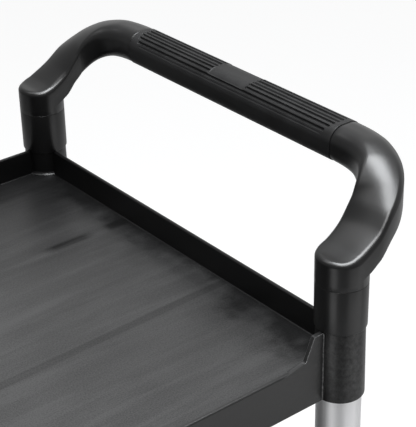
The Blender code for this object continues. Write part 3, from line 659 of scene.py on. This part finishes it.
tube = tube_mesh("upper_tube_front_left")
post = tube_mesh("handle_post_front_left")
rows = [(mesh, kind, "cart", "brushed_aluminium", heights(kind + "front_left")[0])
        for kind, mesh in (("lower_tube_", tube), ("upper_tube_", tube), ("handle_post_", post))]
height = COLLAR_TOP - RIM
outline = [(SOCKET, 0), (22.95, 0), (23.08, height), (SOCKET, height)]
collar = as_mesh(lathe(soften(outline, [0.3, 0.9, 0.35, 0.2], 4), 96), "collar", HANDLE_SATIN)
fit_corners(*rows, (collar, "collar_", "cart", "black_resin", RIM))
print("A tube has", len(tube.polygons), "faces.")

# %% [markdown]
# ## The handle
# From each collar a sleeve goes up into a flat cap, and out of the cap an arm sweeps up and round a
# corner into the bar. A curve with a bevel could not change its section, so the arm is skinned over
# about eighty sections. Each is an upright rounded rectangle, whose width, top and underside are
# read from a short table of places along the arm. While a section still cuts through the sleeve, it
# carries the sleeve's outline below it, so that cap, arm and sleeve come out as one smooth skin.

# %% The table of the arm and a smooth way to read it
SLEEVE = 23.1
ARM = (  # place, width, top, underside
    (0.0, 46.2, 72.2, 50.0),
    (0.1, 45.9, 84.2, 57.5),
    (0.2, 43.6, 100.0, 71.0),
    (0.4, 39.9, 117.7, 84.5),
    (0.6, 37.9, 127.6, 93.8),
    (0.8, 38.3, 131.8, 98.8),
    (1.0, 39.0, 132.0, 100.2),
)
BAR_WIDTH, BAR_TOP, BAR_UNDER = ARM[-1][1:]
STRAIGHT = 11.7
CORNER_X = 66.7
CORNER_Y = 74.6
POWER = 2.3
BAR_X = STRAIGHT + CORNER_X


def read(column, where):
    """A column of the table at a place, by a cubic that never overshoots."""
    places, values = zip(*[(row[0], row[column]) for row in ARM])
    slopes = [(values[i + 1] - values[i]) / (places[i + 1] - places[i])
              for i in range(len(ARM) - 1)]
    ends = [2 * before * after / (before + after) if before * after > 0 else 0.0
            for before, after in zip(slopes, slopes[1:])]
    ends = [slopes[0], *ends, slopes[-1]]
    i = max(k for k in range(len(ARM) - 1) if places[k] <= where)
    span = places[i + 1] - places[i]
    t = (where - places[i]) / span
    return (values[i] * (1 + 2 * t) * (1 - t) ** 2 + values[i + 1] * t * t * (3 - 2 * t)
            + span * (ends[i] * t * (1 - t) ** 2 - ends[i + 1] * t * t * (1 - t)))


def centreline(where):
    """How far the arm is out from the post and from the cart's middle line."""
    turn = where * pi / 2
    straight = STRAIGHT * sin(min(1.0, where / 0.3) * pi / 2)
    return Vector((straight + CORNER_X * sin(turn) ** (2 / POWER),
                   HALF_Y - CORNER_Y * (1 - max(cos(turn), 0.0) ** (2 / POWER))))


def inward(where):
    along = centreline(min(where + 0.01, 1.0)) - centreline(max(where - 0.01, 0.0))
    along.normalize()
    return Vector((along.y, -along.x))


def where_at(reach):
    """The place along the arm with a given reach."""
    low, high = 0.0, 0.5
    for _ in range(40):
        half = (low + high) / 2
        low, high = (half, high) if centreline(half).x < reach else (low, half)
    return (low + high) / 2


print("The sleeve ends", round(where_at(SLEEVE), 3), "of the way along the arm.")

# %% [markdown]
# A section is a list of points from the middle of the top, over the rounded edge, down the side,
# and back under. The cap's edge is a rounded disc, so behind the post its points come from turning
# the edge's round about the post and cutting it with the section's plane.

# %% Sections of the arm
CAP_TOP = 69.0
CAP_ROUND = 4.6
CROWN = 50.0
TOP_ROUND = (6.2, 15.0)  # by the cap and by the grip
UNDER_ROUND = (3.2, 9.5)
JOINT = COLLAR_TOP - RIM + 0.12
TOP_STEPS = 9
UNDER_STEPS = 5
UPPER = 2 + TOP_STEPS + UNDER_STEPS


def sleeve_foot(side):
    return [(side, JOINT + 0.25), (max(0.0, side - 0.2), JOINT)]


def cap_side(x):
    """One side of a section behind the post, from the top's middle to the sleeve's foot."""
    lift = max(0.0, 1 + x / SLEEVE / 0.55) ** 1.5
    top = CAP_TOP + (ARM[0][2] - CAP_TOP) * lift
    rounding = CAP_ROUND + (TOP_ROUND[0] - CAP_ROUND) * lift
    flat = SLEEVE - rounding
    start = asin(min(1.0, max(0.0, (abs(x) - flat) / rounding)))
    points = [(sqrt(max((flat + rounding * sine) ** 2 - x ** 2, 0.0)),
               top - rounding * (1 - cosine)) for sine, cosine in arc(TOP_STEPS - 1, start)]
    side = sqrt(max(SLEEVE ** 2 - x ** 2, 0.0))
    crown = [(0.0, points[0][1]), (points[0][0] * 0.5, points[0][1])]
    drop = [(side, ARM[0][3] + 3 - i * 0.55) for i in range(2 * UNDER_STEPS)]
    return crown + points + drop + sleeve_foot(side)


def rounding_at(where, first, last):
    """The rounding of an edge at a place: small by the cap, large by the grip."""
    blend = min(1.0, max(0.0, (where - 0.3) / 0.48))
    return first + (last - first) * blend * blend * (3 - 2 * blend)


def under_edge(half, under, rounding, steps=UNDER_STEPS - 1):
    return [(half - rounding * (1 - cosine), under + rounding * (1 - sine))
            for sine, cosine in arc(steps)]


def closed_under(side, under):
    """A side with its points run on to the middle of the underside."""
    last = side[-1][0]
    return side + [(last * (1 - k / (UNDER_STEPS + 2)), under) for k in range(1, UNDER_STEPS + 3)]


def arm_side(where, sleeve_half):
    """One side of a section in front of the post. Past the sleeve, sleeve_half is nought."""
    half = read(1, where) / 2
    top = read(2, where)
    under = read(3, where)
    rounding = rounding_at(where, *TOP_ROUND)
    bend = min(1.0, where / 0.25, (1 - where) / 0.3) / CROWN
    lean = asin((half - rounding) * bend / (1 - rounding * bend))
    flat = (half - rounding) / (1 - rounding * bend)
    drop = flat * tan(lean / 2)
    top += drop / 2
    points = [(0.0, top), (flat * 0.5, top - drop / 4)]
    points += [(half - rounding * (1 - sine), top - drop - rounding * (cos(lean) - cosine))
               for sine, cosine in arc(TOP_STEPS - 1, lean)]
    overhang = max(0.0, half - sleeve_half) * 0.45
    inner = min(1.5, overhang) if sleeve_half > 0 else 0.0
    points += under_edge(half, under, min(rounding_at(where, *UNDER_ROUND), overhang))
    points += [(sleeve_half + inner * (1 - sine), under - inner * (1 - cosine))
               for sine, cosine in arc(UNDER_STEPS - 1)]
    return points + sleeve_foot(sleeve_half)


def ring_of(side, centre, across, square=False):
    """Stand a section in space. With square, what is below the arm is square to the post."""
    ring = []
    for sign in (1, -1):
        points = []
        for i, (out, height) in enumerate(side):
            x, y = across * sign * out
            if square and i >= UPPER:
                points.append((centre.x, HALF_Y - sign * out, RIM + height))
            else:
                points.append((centre.x + x, centre.y + y, RIM + height))
        ring += points if sign > 0 else points[:0:-1]
    return ring


def handle_half():
    """Rings from the back of the cap to the end of the corner, on the +Y side."""
    rings = []
    for i in range(17):
        x = -SLEEVE * sin(radians(87.5) * (1 - i / 17))
        rings.append(ring_of(cap_side(x), Vector((x, HALF_Y)), Vector((0.0, -1.0))))
    for i, (sine, cosine) in enumerate(arc(16)):
        x = max(SLEEVE * sine, 0.01)
        where = where_at(x)
        side = arm_side(where, SLEEVE * cosine if i < 16 else 0.0)
        rings.append(ring_of(side, Vector((x, centreline(where).y)), inward(where), True))
    first = where_at(SLEEVE)
    for i in range(44):
        where = first + (1 - first) * i / 43
        side = closed_under(arm_side(where, 0.0)[:UPPER], read(3, where))
        rings.append(ring_of(side, centreline(where), inward(where)))
    return rings


half = handle_half()
print("Each half of the handle is skinned over", len(half), "sections of", len(half[0]), "points.")

# %% [markdown]
# At the seam the bar steps down into a waist, and the rubber grip fills it. The edge of the step is
# rounded, so that a thin dark line with a bright border runs round the bar, as in the photograph.

# %% The whole handle
SEAM = 147.0
SEAM_STEP = ((1.0, 0.0), (0.6, 0.08), (0.25, 0.3), (0.05, 0.65), (0.0, 1.1), (0.0, 3.2))


def bar_ring(offset, shrink):
    half_width = BAR_WIDTH / 2 - shrink
    top = BAR_TOP - shrink
    upper = TOP_ROUND[1] - shrink
    side = [(0.0, top), ((half_width - upper) * 0.5, top)]
    side += [(half_width - upper + upper * sine, top - upper * (1 - cosine))
             for sine, cosine in arc(TOP_STEPS - 1)]
    side += under_edge(half_width, BAR_UNDER + shrink, UNDER_ROUND[1] - shrink)
    side = closed_under(side, BAR_UNDER + shrink)
    return ring_of(side, Vector((BAR_X, offset)), Vector((-1.0, 0.0)))


run = half + [bar_ring(SEAM + 0.3 + offset, shrink) for offset, shrink in SEAM_STEP]
handle = as_mesh(skin(run + mirrored(run), caps=True), "handle", HANDLE_SATIN, sharp=38)
fit_ends(handle, "handle_", "satin_black_handle")
print("A handle has", len(handle.polygons), "faces.")

# %% [markdown]
# ## The rubber grip
# The grip is a sleeve with grooves over its rounded top, in two blocks, and a bare plaque between
# them. Grooves cut with Booleans would have hard, torn ends. Here every point of a dense sleeve is
# pushed in by a depth that follows smoothly from how far it lies round the top and along the bar.
# The grooves end on a curve, the outer ones a little earlier than the middle ones.

# %% How deep the grip is at a point
GROOVES = 8
PITCH = 5.14
GROOVE_HALF = 1.5
GROOVE_DEEP = 2.0
BLOCK_END = 142.0
BORDER = 21.8
PLAQUE = 26.0
PLAQUE_DEEP = 0.45
END_ROUND = 0.8


def ease(value, low, high):
    """Nought below low, one above high, and a smooth rise between."""
    t = min(1.0, max(0.0, (value - low) / (high - low)))
    return t * t * (3 - 2 * t)


def end_sink(along):
    return 0.6 * (max(0.0, along - (SEAM - END_ROUND)) / END_ROUND) ** 2


def sink(round_top, along):
    """How far the skin is pushed in, by the distance round the top and along the bar."""
    deep = 0.0
    outermost = (GROOVES - 1) / 2 * PITCH
    for i in range(GROOVES):
        line = -outermost + i * PITCH
        off = abs(round_top - line) / GROOVE_HALF
        if off < 1:
            block_end = BLOCK_END - 7.0 * (line / 20.5) ** 2
            mask = 1 - ease(along, block_end - 1.6, block_end)
            if 0 < i < GROOVES - 1:
                mask *= ease(along, PLAQUE, PLAQUE + 1.2)
            deep = max(deep, GROOVE_DEEP * mask * (1 - off ** 4))
    off = abs(abs(round_top) - BORDER) / 0.9
    if off < 1:
        deep = max(deep, 0.3 * (1 - off * off) * (1 - ease(along, 130, 136)))
    flat = 1 - ease(abs(round_top), 15.6, 16.6)
    return max(deep, PLAQUE_DEEP * flat * (1 - ease(along, PLAQUE - 1.2, PLAQUE))) + end_sink(along)


print("The groove at the middle of a block is", round(sink(PITCH / 2, 80), 2), "mm deep.")

# %% [markdown]
# The rings are close together where grooves start and stop, and far apart along their runs.

# %% The grip itself
PROUD = 0.5
GRIP_ROUND = TOP_ROUND[1] + PROUD
FLAT_HALF = BAR_WIDTH / 2 - TOP_ROUND[1]
TOP_POINTS = 150
RING_STOPS = ((0, 24, 6), (24, 28, 0.5), (28, 126, 7), (126, 130, 2), (130, 143, 0.6),
              (143, 146, 1.0), (146, 147, 0.2))  # from, to, step


def grip_ring(offset):
    along = abs(offset)
    side_arc = FLAT_HALF + GRIP_ROUND * pi / 2
    top = BAR_TOP - TOP_ROUND[1]
    points = []
    for i in range(TOP_POINTS + 1):
        round_top = side_arc - 2 * side_arc * i / TOP_POINTS
        radius = GRIP_ROUND - sink(round_top, along)
        angle = max(0.0, abs(round_top) - FLAT_HALF) / GRIP_ROUND
        across = min(abs(round_top), FLAT_HALF) + radius * sin(angle)
        points.append((copysign(across, round_top), top + radius * cos(angle)))
    push = end_sink(along)
    below = under_edge(BAR_WIDTH / 2 + PROUD - push, BAR_UNDER - PROUD + push,
                       UNDER_ROUND[1] + PROUD, 8)
    points += [(-across, height) for across, height in below] + below[::-1]
    return [(BAR_X - across, offset, RIM + height) for across, height in points]


stops = set()
for start, end, step in RING_STOPS:
    count = round((end - start) / step)
    stops |= {start + (end - start) * i / count for i in range(count + 1)}
rings = [grip_ring(offset) for offset in sorted({-stop for stop in stops} | stops)]
grip = as_mesh(skin(rings, caps=True), "grip", GRIP_RUBBER, sharp=60)
fit_ends(grip, "grip_", "grip_rubber")
print("A grip has", len(grip.polygons), "faces.")

# %% [markdown]
# Each sleeve is held to its post by one screw on the outer side, under the arm. Its round head has
# a six-sided socket: its inner rings are six-sided and its outer ones round, all with as many
# points, so that one skin covers both.

# %% Screws of the handle
SCREW_HEAD = 2.2


def hexagon(width, count=24):
    points = []
    for i in range(count):
        angle = 2 * pi * i / count
        radius = width / 2 / cos((angle + pi / 6) % (pi / 3) - pi / 6)
        points.append((radius * cos(angle), radius * sin(angle)))
    return points


def circle(radius, count=24):
    return [(radius * cosine, radius * sine) for sine, cosine in arc(count, 0.0, 2 * pi)[:-1]]


def stacked(levels, axis, hollow=False):
    """Skin rings of (shape, size, height) stacked along an axis, with caps or a bore."""
    rings = [[(x, y, height) for x, y in shape(size)] for shape, size, height in levels]
    bm = skin(rings, loop=hollow, caps=not hollow)
    bm.transform(AXIS_TURN[axis])
    return bm


levels = [(circle, 1.9, -9), (circle, 1.9, 0), (circle, 3.7, 0), (circle, 3.8, 0.4),
          (circle, 3.5, 1.4), (circle, 2.9, 2.0), (circle, 2.3, SCREW_HEAD),
          (hexagon, 2.9, 2.15), (hexagon, 2.8, 0.6)]
screw = as_mesh(stacked(levels, "X"), "screw", ZINC)
for corner in CORNERS:
    low, high = box("handle_screw_" + corner)
    front = POST[corner].x > 0
    seat = high.x - SCREW_HEAD if front else low.x + SCREW_HEAD
    fit(screw, "handle_screw_" + corner, "cart", "zinc_plated_steel",
        (seat, POST[corner].y, (low.z + high.z) / 2), 0.0 if front else pi)
print("A screw has", len(screw.polygons), "faces.")

# %% [markdown]
# ## The casters
# The photograph stops above the floor, so these follow common 100 mm swivel casters with a stem.
# From the top down: a black plug in the boss, the stem's plate, a sealed race of balls, the fork's
# head with the riveted end of the kingpin under it, two legs, and the wheel.

# %% Plug, stem and swivel race
PLUG_FOOT, PLUG_TOP = heights("caster_plug_front_left")
outline = [(5.8, PLUG_FOOT), (22.3, PLUG_FOOT), (22.3, PLUG_FOOT + 3), (20, PLUG_FOOT + 3),
           (20, PLUG_TOP), (5.8, PLUG_TOP)]
plug = as_mesh(lathe(soften(outline, [0.3, 1.0, 0.8, 0.2, 1.0, 0.3])), "plug", TRAY_RESIN)

low, high = heights("caster_stem_front_left")
plate = PLUG_FOOT - 0.3
outline = [(0, low), (8.6, low), (10, low + 2.2), (9.4, low + 5), (6, low + 5), (6, plate - 4),
           (20.6, plate - 4), (22, plate - 1.6), (21.4, plate), (5.5, plate), (5.5, high),
           (0, high)]
radii = [0, 2.0, 1.2, 0.6, 0.2, 0.2, 0.9, 0.9, 0.6, 0.3, 0.8, 0]
stem = as_mesh(lathe(soften(outline, radii), 72), "stem", ZINC)

low, high = heights("swivel_race_front_left")
split = (low + high) / 2
outline = [(9, low), (17.5, low), (20.9, split - 1.4), (20.9, split - 0.5), (19.4, split - 0.5),
           (19.4, split + 0.5), (20.9, split + 0.5), (20.9, split + 1.4), (17.5, high), (9, high)]
race = as_mesh(lathe(soften(outline, 0.4, 2), 72), "race", ZINC)
fit_corners((plug, "caster_plug_", "cart", "black_resin", 0),
            (stem, "caster_stem_", "cart", "zinc_plated_steel", 0),
            (race, "swivel_race_", "swivel_", "zinc_plated_steel", 0))
print("The race is", round(high - low, 1), "mm high.")

# %% [markdown]
# The fork is one strip of steel, pressed round and dished at the head, and bent down twice to make
# the legs. It is skinned along its own path, up one leg, over the head and down the other. At each
# stop it has a front edge, a back edge and a thickness, and its corners are softened.

# %% The fork
TRAIL = POST["front_left"].x - middle("wheel_hub_front_left").x
AXLE_Z = middle("wheel_hub_front_left").z
FORK_TOP = heights("fork_front_left")[1]
FORK_HALF = 17.3
PLATE = 3.0
LEG_ROUND = 11.0
BEND = 6.0
HEAD_EDGES = (12.0, -26.0)


def leg_edges(z):
    if z < AXLE_Z:
        width = sqrt(max(LEG_ROUND ** 2 - (AXLE_Z - z) ** 2, 0.0))
        return -TRAIL + width, -TRAIL - width
    t = (z - AXLE_Z) / (FORK_TOP - PLATE - AXLE_Z)
    bow = 4 * sin(pi * t)
    return ((-TRAIL + LEG_ROUND) * (1 - t) + HEAD_EDGES[0] * t - bow,
            (-TRAIL - LEG_ROUND) * (1 - t) + HEAD_EDGES[1] * t + bow * 0.4)


def strip_ring(centre_y, centre_z, normal, front, back):
    half_plate = PLATE / 2
    corners = [(front, half_plate), (front, -half_plate), (back, -half_plate), (back, half_plate)]
    return [(x, centre_y + normal[0] * out, centre_z + normal[1] * out)
            for x, out in soften(corners, 0.7, 2)]


def fork_strip():
    """Half of the strip, from the foot of the +Y leg to the middle of the head."""
    y = FORK_HALF - PLATE / 2
    top = FORK_TOP - PLATE / 2
    stops = [AXLE_Z - LEG_ROUND * cosine for sine, cosine in arc(8)[1:]]
    stops += [AXLE_Z + (top - BEND - AXLE_Z) * i / 10 for i in range(1, 11)]
    rings = [strip_ring(y, z, (1, 0), *leg_edges(z)) for z in stops]
    rings += [strip_ring(y - BEND * (1 - cosine), top - BEND * (1 - sine), (cosine, sine),
                         *HEAD_EDGES) for sine, cosine in arc(6)[1:]]
    return rings + [strip_ring(0.0, top, (0, 1), *HEAD_EDGES)]


rings = fork_strip()
head = [(6.3, FORK_TOP - PLATE), (21, FORK_TOP - PLATE), (22.4, FORK_TOP - 1.6), (21.6, FORK_TOP),
        (17, FORK_TOP), (16, FORK_TOP - 0.8), (6.3, FORK_TOP - 0.8)]
parts = [skin(rings + mirrored(rings[:-1]), caps=True),
         lathe(soften(head, [0.3, 0.8, 0.8, 0.8, 0.8, 0.8, 0.3]), 72)]
for side, turn in ((1, 0.0), (-1, pi)):
    ring = lathe(soften([(4.3, 0), (9.2, 0), (8.2, 0.5), (4.3, 0.5)], 0.3, 2), 48, "Y")
    parts.append(at(ring, -TRAIL, side * FORK_HALF, AXLE_Z, turn))
fork = as_mesh(gather(parts), "fork", ZINC, sharp=40)
fit_corners((fork, "fork_", "swivel_", "zinc_plated_steel", 0))
print("A fork trails", round(TRAIL), "mm.")

# %% [markdown]
# The wheel is a moulded core with a tyre bonded round it, whose crowned tread rolls on a narrow
# line and turns easily. The core has a rim, a thin web with six ribs a side, and a barrel round the
# axle.

# %% Tyre and wheel core
WHEEL_RADIUS = 50.0
TYRE_HALF = 12.0
TREAD_HALF = 9.5
tread = [(WHEEL_RADIUS - 1.6 * abs(share) ** 2.4, TREAD_HALF * share)
         for share in [i / 6 - 1 for i in range(13)]]
side = [(38.0, 10.6), (39.5, TYRE_HALF), (45.5, TYRE_HALF)]
radii = [0.4, 0.8, 1.8]
outline = [(r, -h) for r, h in side] + tread + side[::-1]
tyre = as_mesh(lathe(soften(outline, radii + [0.8] * 13 + radii[::-1]), 96, "Y"), "tyre", TYRE,
               sharp=40)

side = [(4.3, 14), (10.4, 14), (11.4, 3.2), (31.4, 2.4), (33.4, 9.6), (37.6, 9.9)]
radii = [0.4, 1.0, 1.6, 1.8, 0.8, 0.3]
outline = [(r, -h) for r, h in side] + side[::-1]
parts = [lathe(soften(outline, radii + radii[::-1]), 96, "Y")]
for i in range(6):
    rib = extrude(soften([(10, -8.5), (33, -7), (33, 7), (10, 8.5)], 0.4, 2), -1.1, 1.1, "Z")
    rib.transform(Matrix.Rotation(2 * pi * i / 6, 4, "Y"))
    parts.append(rib)
core = as_mesh(gather(parts), "core", CORE)
fit_corners((core, "wheel_hub_", "wheel_", "wheel_core", AXLE_Z),
            (tyre, "tyre_", "wheel_", "grey_tyre", AXLE_Z), back=TRAIL)
print("A tyre has", len(tyre.polygons), "faces.")

# %% [markdown]
# A bolt and a lock nut hold the wheel. Both are six-sided with their corners turned off, which the
# rings make by a short step from a circle to a hexagon.

# %% Axle bolt and nut
SEAT = 17.6
FLATS = 13.0
levels = [(circle, 5.2, -SEAT - 4.2), (circle, 5.9, -SEAT - 4.5), (circle, 6.4, -SEAT - 4.3),
          (hexagon, FLATS, -SEAT - 3.7), (hexagon, FLATS, -SEAT - 0.7), (circle, 7.4, -SEAT - 0.65),
          (circle, 7.4, -SEAT), (circle, 4.0, -SEAT), (circle, 4.0, SEAT + 4.9),
          (circle, 3.5, SEAT + 5.3)]
bolt = as_mesh(stacked(levels, "Y"), "bolt", ZINC)

levels = [(circle, 4.1, SEAT), (circle, 7.4, SEAT), (circle, 7.4, SEAT + 0.6),
          (hexagon, FLATS, SEAT + 0.7), (hexagon, FLATS, SEAT + 3.4), (circle, 6.2, SEAT + 3.9),
          (circle, 5.8, SEAT + 4.8), (circle, 5.3, SEAT + 5.0), (circle, 4.1, SEAT + 4.9)]
nut = as_mesh(stacked(levels, "Y", hollow=True), "nut", ZINC)
fit_corners((bolt, "axle_bolt_", "swivel_", "zinc_plated_steel", AXLE_Z),
            (nut, "axle_nut_", "swivel_", "zinc_plated_steel", AXLE_Z), back=TRAIL)
print("Fitted", len(fitted), "fine pieces for", len(frame["nodes"]), "nodes.")

# %% [markdown]
# ## The stage
# A pale floor, a white surround and soft lamps. The surround lights the cart only mildly, so that
# black stays black. To the camera it is white all round. In a mirror it is white beyond the cart
# and dimmer behind the camera, as in a studio, where the sweep of paper stands behind the object.
# That draws light edges on black plastic and dark ones on bright metal. The floor glows a little by
# the cart and more farther off, so that it runs into the white surround.

# %% Floor and surround
AHEAD = (0.97, 0.26, 0.0)
SURROUND = 0.15
FLOOR_GREY = 0.32
FLOOR_SIZE = 14.0


def backdrop(nodes, behind, ahead, dim, bright):
    """How much of the backdrop's white a ray sees."""
    facing = nodes.node("VectorMath", {0: nodes.place, 1: AHEAD}, "Value", operation="DOT_PRODUCT")
    seen = nodes.map(facing, behind, ahead, dim, bright)
    for operation, ray in (("MULTIPLY", "Is Glossy Ray"), ("MAXIMUM", "Is Camera Ray"),
                           ("MAXIMUM", "Is Transmission Ray")):
        seen = nodes.math(operation, seen, nodes.node("LightPath", {}, ray))
    return seen


bm = bmesh.new()
bmesh.ops.create_grid(bm, x_segments=1, y_segments=1, size=FLOOR_SIZE)
paper = Finish("pale_floor", (FLOOR_GREY,) * 3, 0.9, Specular_IOR_Level=0.0)
away = paper.node("VectorMath", {0: paper.place}, "Value", operation="LENGTH")
glow = paper.times(backdrop(paper, -0.5, 2.0, 0.1, 0.45), paper.map(away, 1.2, 7.0, 0.72, 0.96))
white = paper.node("Emission", {"Strength": glow}, 0)
both = paper.node("AddShader", {0: paper.shader.outputs[0], 1: white}, 0)
paper.tree.links.new(both, paper.tree.nodes["Material Output"].inputs["Surface"])
floor = show("floor", as_mesh(bm, "floor", paper))
floor.location.z = -0.0003

world = bpy.data.worlds.new("surround")
world.use_nodes = True
bpy.context.scene.world = world
nodes = Nodes(world.node_tree, "Generated")
lit = nodes.tree.nodes["Background"]
lit.inputs["Color"].default_value = (1, 1, 1, 1)
lit.inputs["Strength"].default_value = SURROUND
white = nodes.node("Background", {"Color": (1, 1, 1, 1)}, 0)
seen = nodes.node("MixShader", {0: backdrop(nodes, -0.1, 1.0, 0.18, 1.0), 1: lit.outputs[0],
                                2: white}, 0)
nodes.tree.links.new(seen, nodes.tree.nodes["World Output"].inputs["Surface"])
print("Floor and surround are up.")

# %% [markdown]
# One large soft lamp hangs almost straight above. It lights the tray's floor and draws the broad
# pale patch on the shoulder of the near arm and the bright line along the edge of each cap. Two
# weaker ones, high behind and high to the left of the camera, carry that line on down the arms. Two
# very weak ones low down give the upright round faces their soft light bands.

# %% Lamps
def lamp(name, direction, distance, size, watts, colour=(1, 1, 1), turn=0.0):
    """A soft lamp in a direction from the front handle, facing it."""
    target = Vector((HALF_X, 0.0, RIM + 60)) * MM
    light = bpy.data.lights.new(name, "AREA")
    light.shape = "RECTANGLE"
    light.size, light.size_y = size
    light.energy = watts
    light.color = colour
    holder = show(name, light)
    holder.location = target + Vector(direction).normalized() * distance
    facing = (-Vector(direction)).to_track_quat("-Z", "Y") @ Quaternion((0, 0, 1), turn)
    holder.rotation_euler = facing.to_euler()


lamp("overhead", (0.03, 0.0, 0.99), 2.4, (1.6, 1.0), 92, (0.96, 0.98, 1.0), radians(-35))
lamp("behind", (-0.36, 0.36, 0.86), 2.4, (1.3, 1.1), 8)
lamp("front_high", (-0.32, -0.36, 0.88), 2.4, (0.9, 0.5), 16)
lamp("low_right", (0.2, -0.85, -0.48), 1.35, (1.1, 0.45), 0.95)
lamp("low_left", (-0.8, -0.34, -0.48), 1.35, (0.55, 0.45), 1.0)
print("Five lamps are lit.")

# %% [markdown]
# ## The camera
# The camera's place was worked out from the edges of the posts, the rim and the floor line in the
# photograph. It looks down over the open side of the top tray at the front handle.

# %% Camera
TURN = radians(51.775)
DOWN = radians(28.798)
TILT = radians(1.345)
FOCAL_PIXELS = 1425.15
PHOTO_HEIGHT = 427
SENSOR = 36.0
forward = Vector((cos(DOWN) * cos(TURN), cos(DOWN) * sin(TURN), -sin(DOWN)))
right = Vector((sin(TURN), -cos(TURN), 0.0))
down = forward.cross(right)
across = right * cos(TILT) + down * sin(TILT)
upright = right * sin(TILT) - down * cos(TILT)
view = bpy.data.cameras.new("camera")
view.sensor_fit = "VERTICAL"
view.sensor_height = SENSOR
view.lens = FOCAL_PIXELS * SENSOR / PHOTO_HEIGHT
view.clip_end = 60.0
camera = show("camera", view)
pose = Matrix((across, upright, -forward)).transposed().to_4x4()
pose.translation = Vector((HALF_X - 711.83, -953.57, RIM + 662.94)) * MM
camera.matrix_world = pose
bpy.context.scene.camera = camera
bpy.context.scene.view_settings.view_transform = "Standard"
print("The camera stands at", [round(value, 3) for value in camera.location])
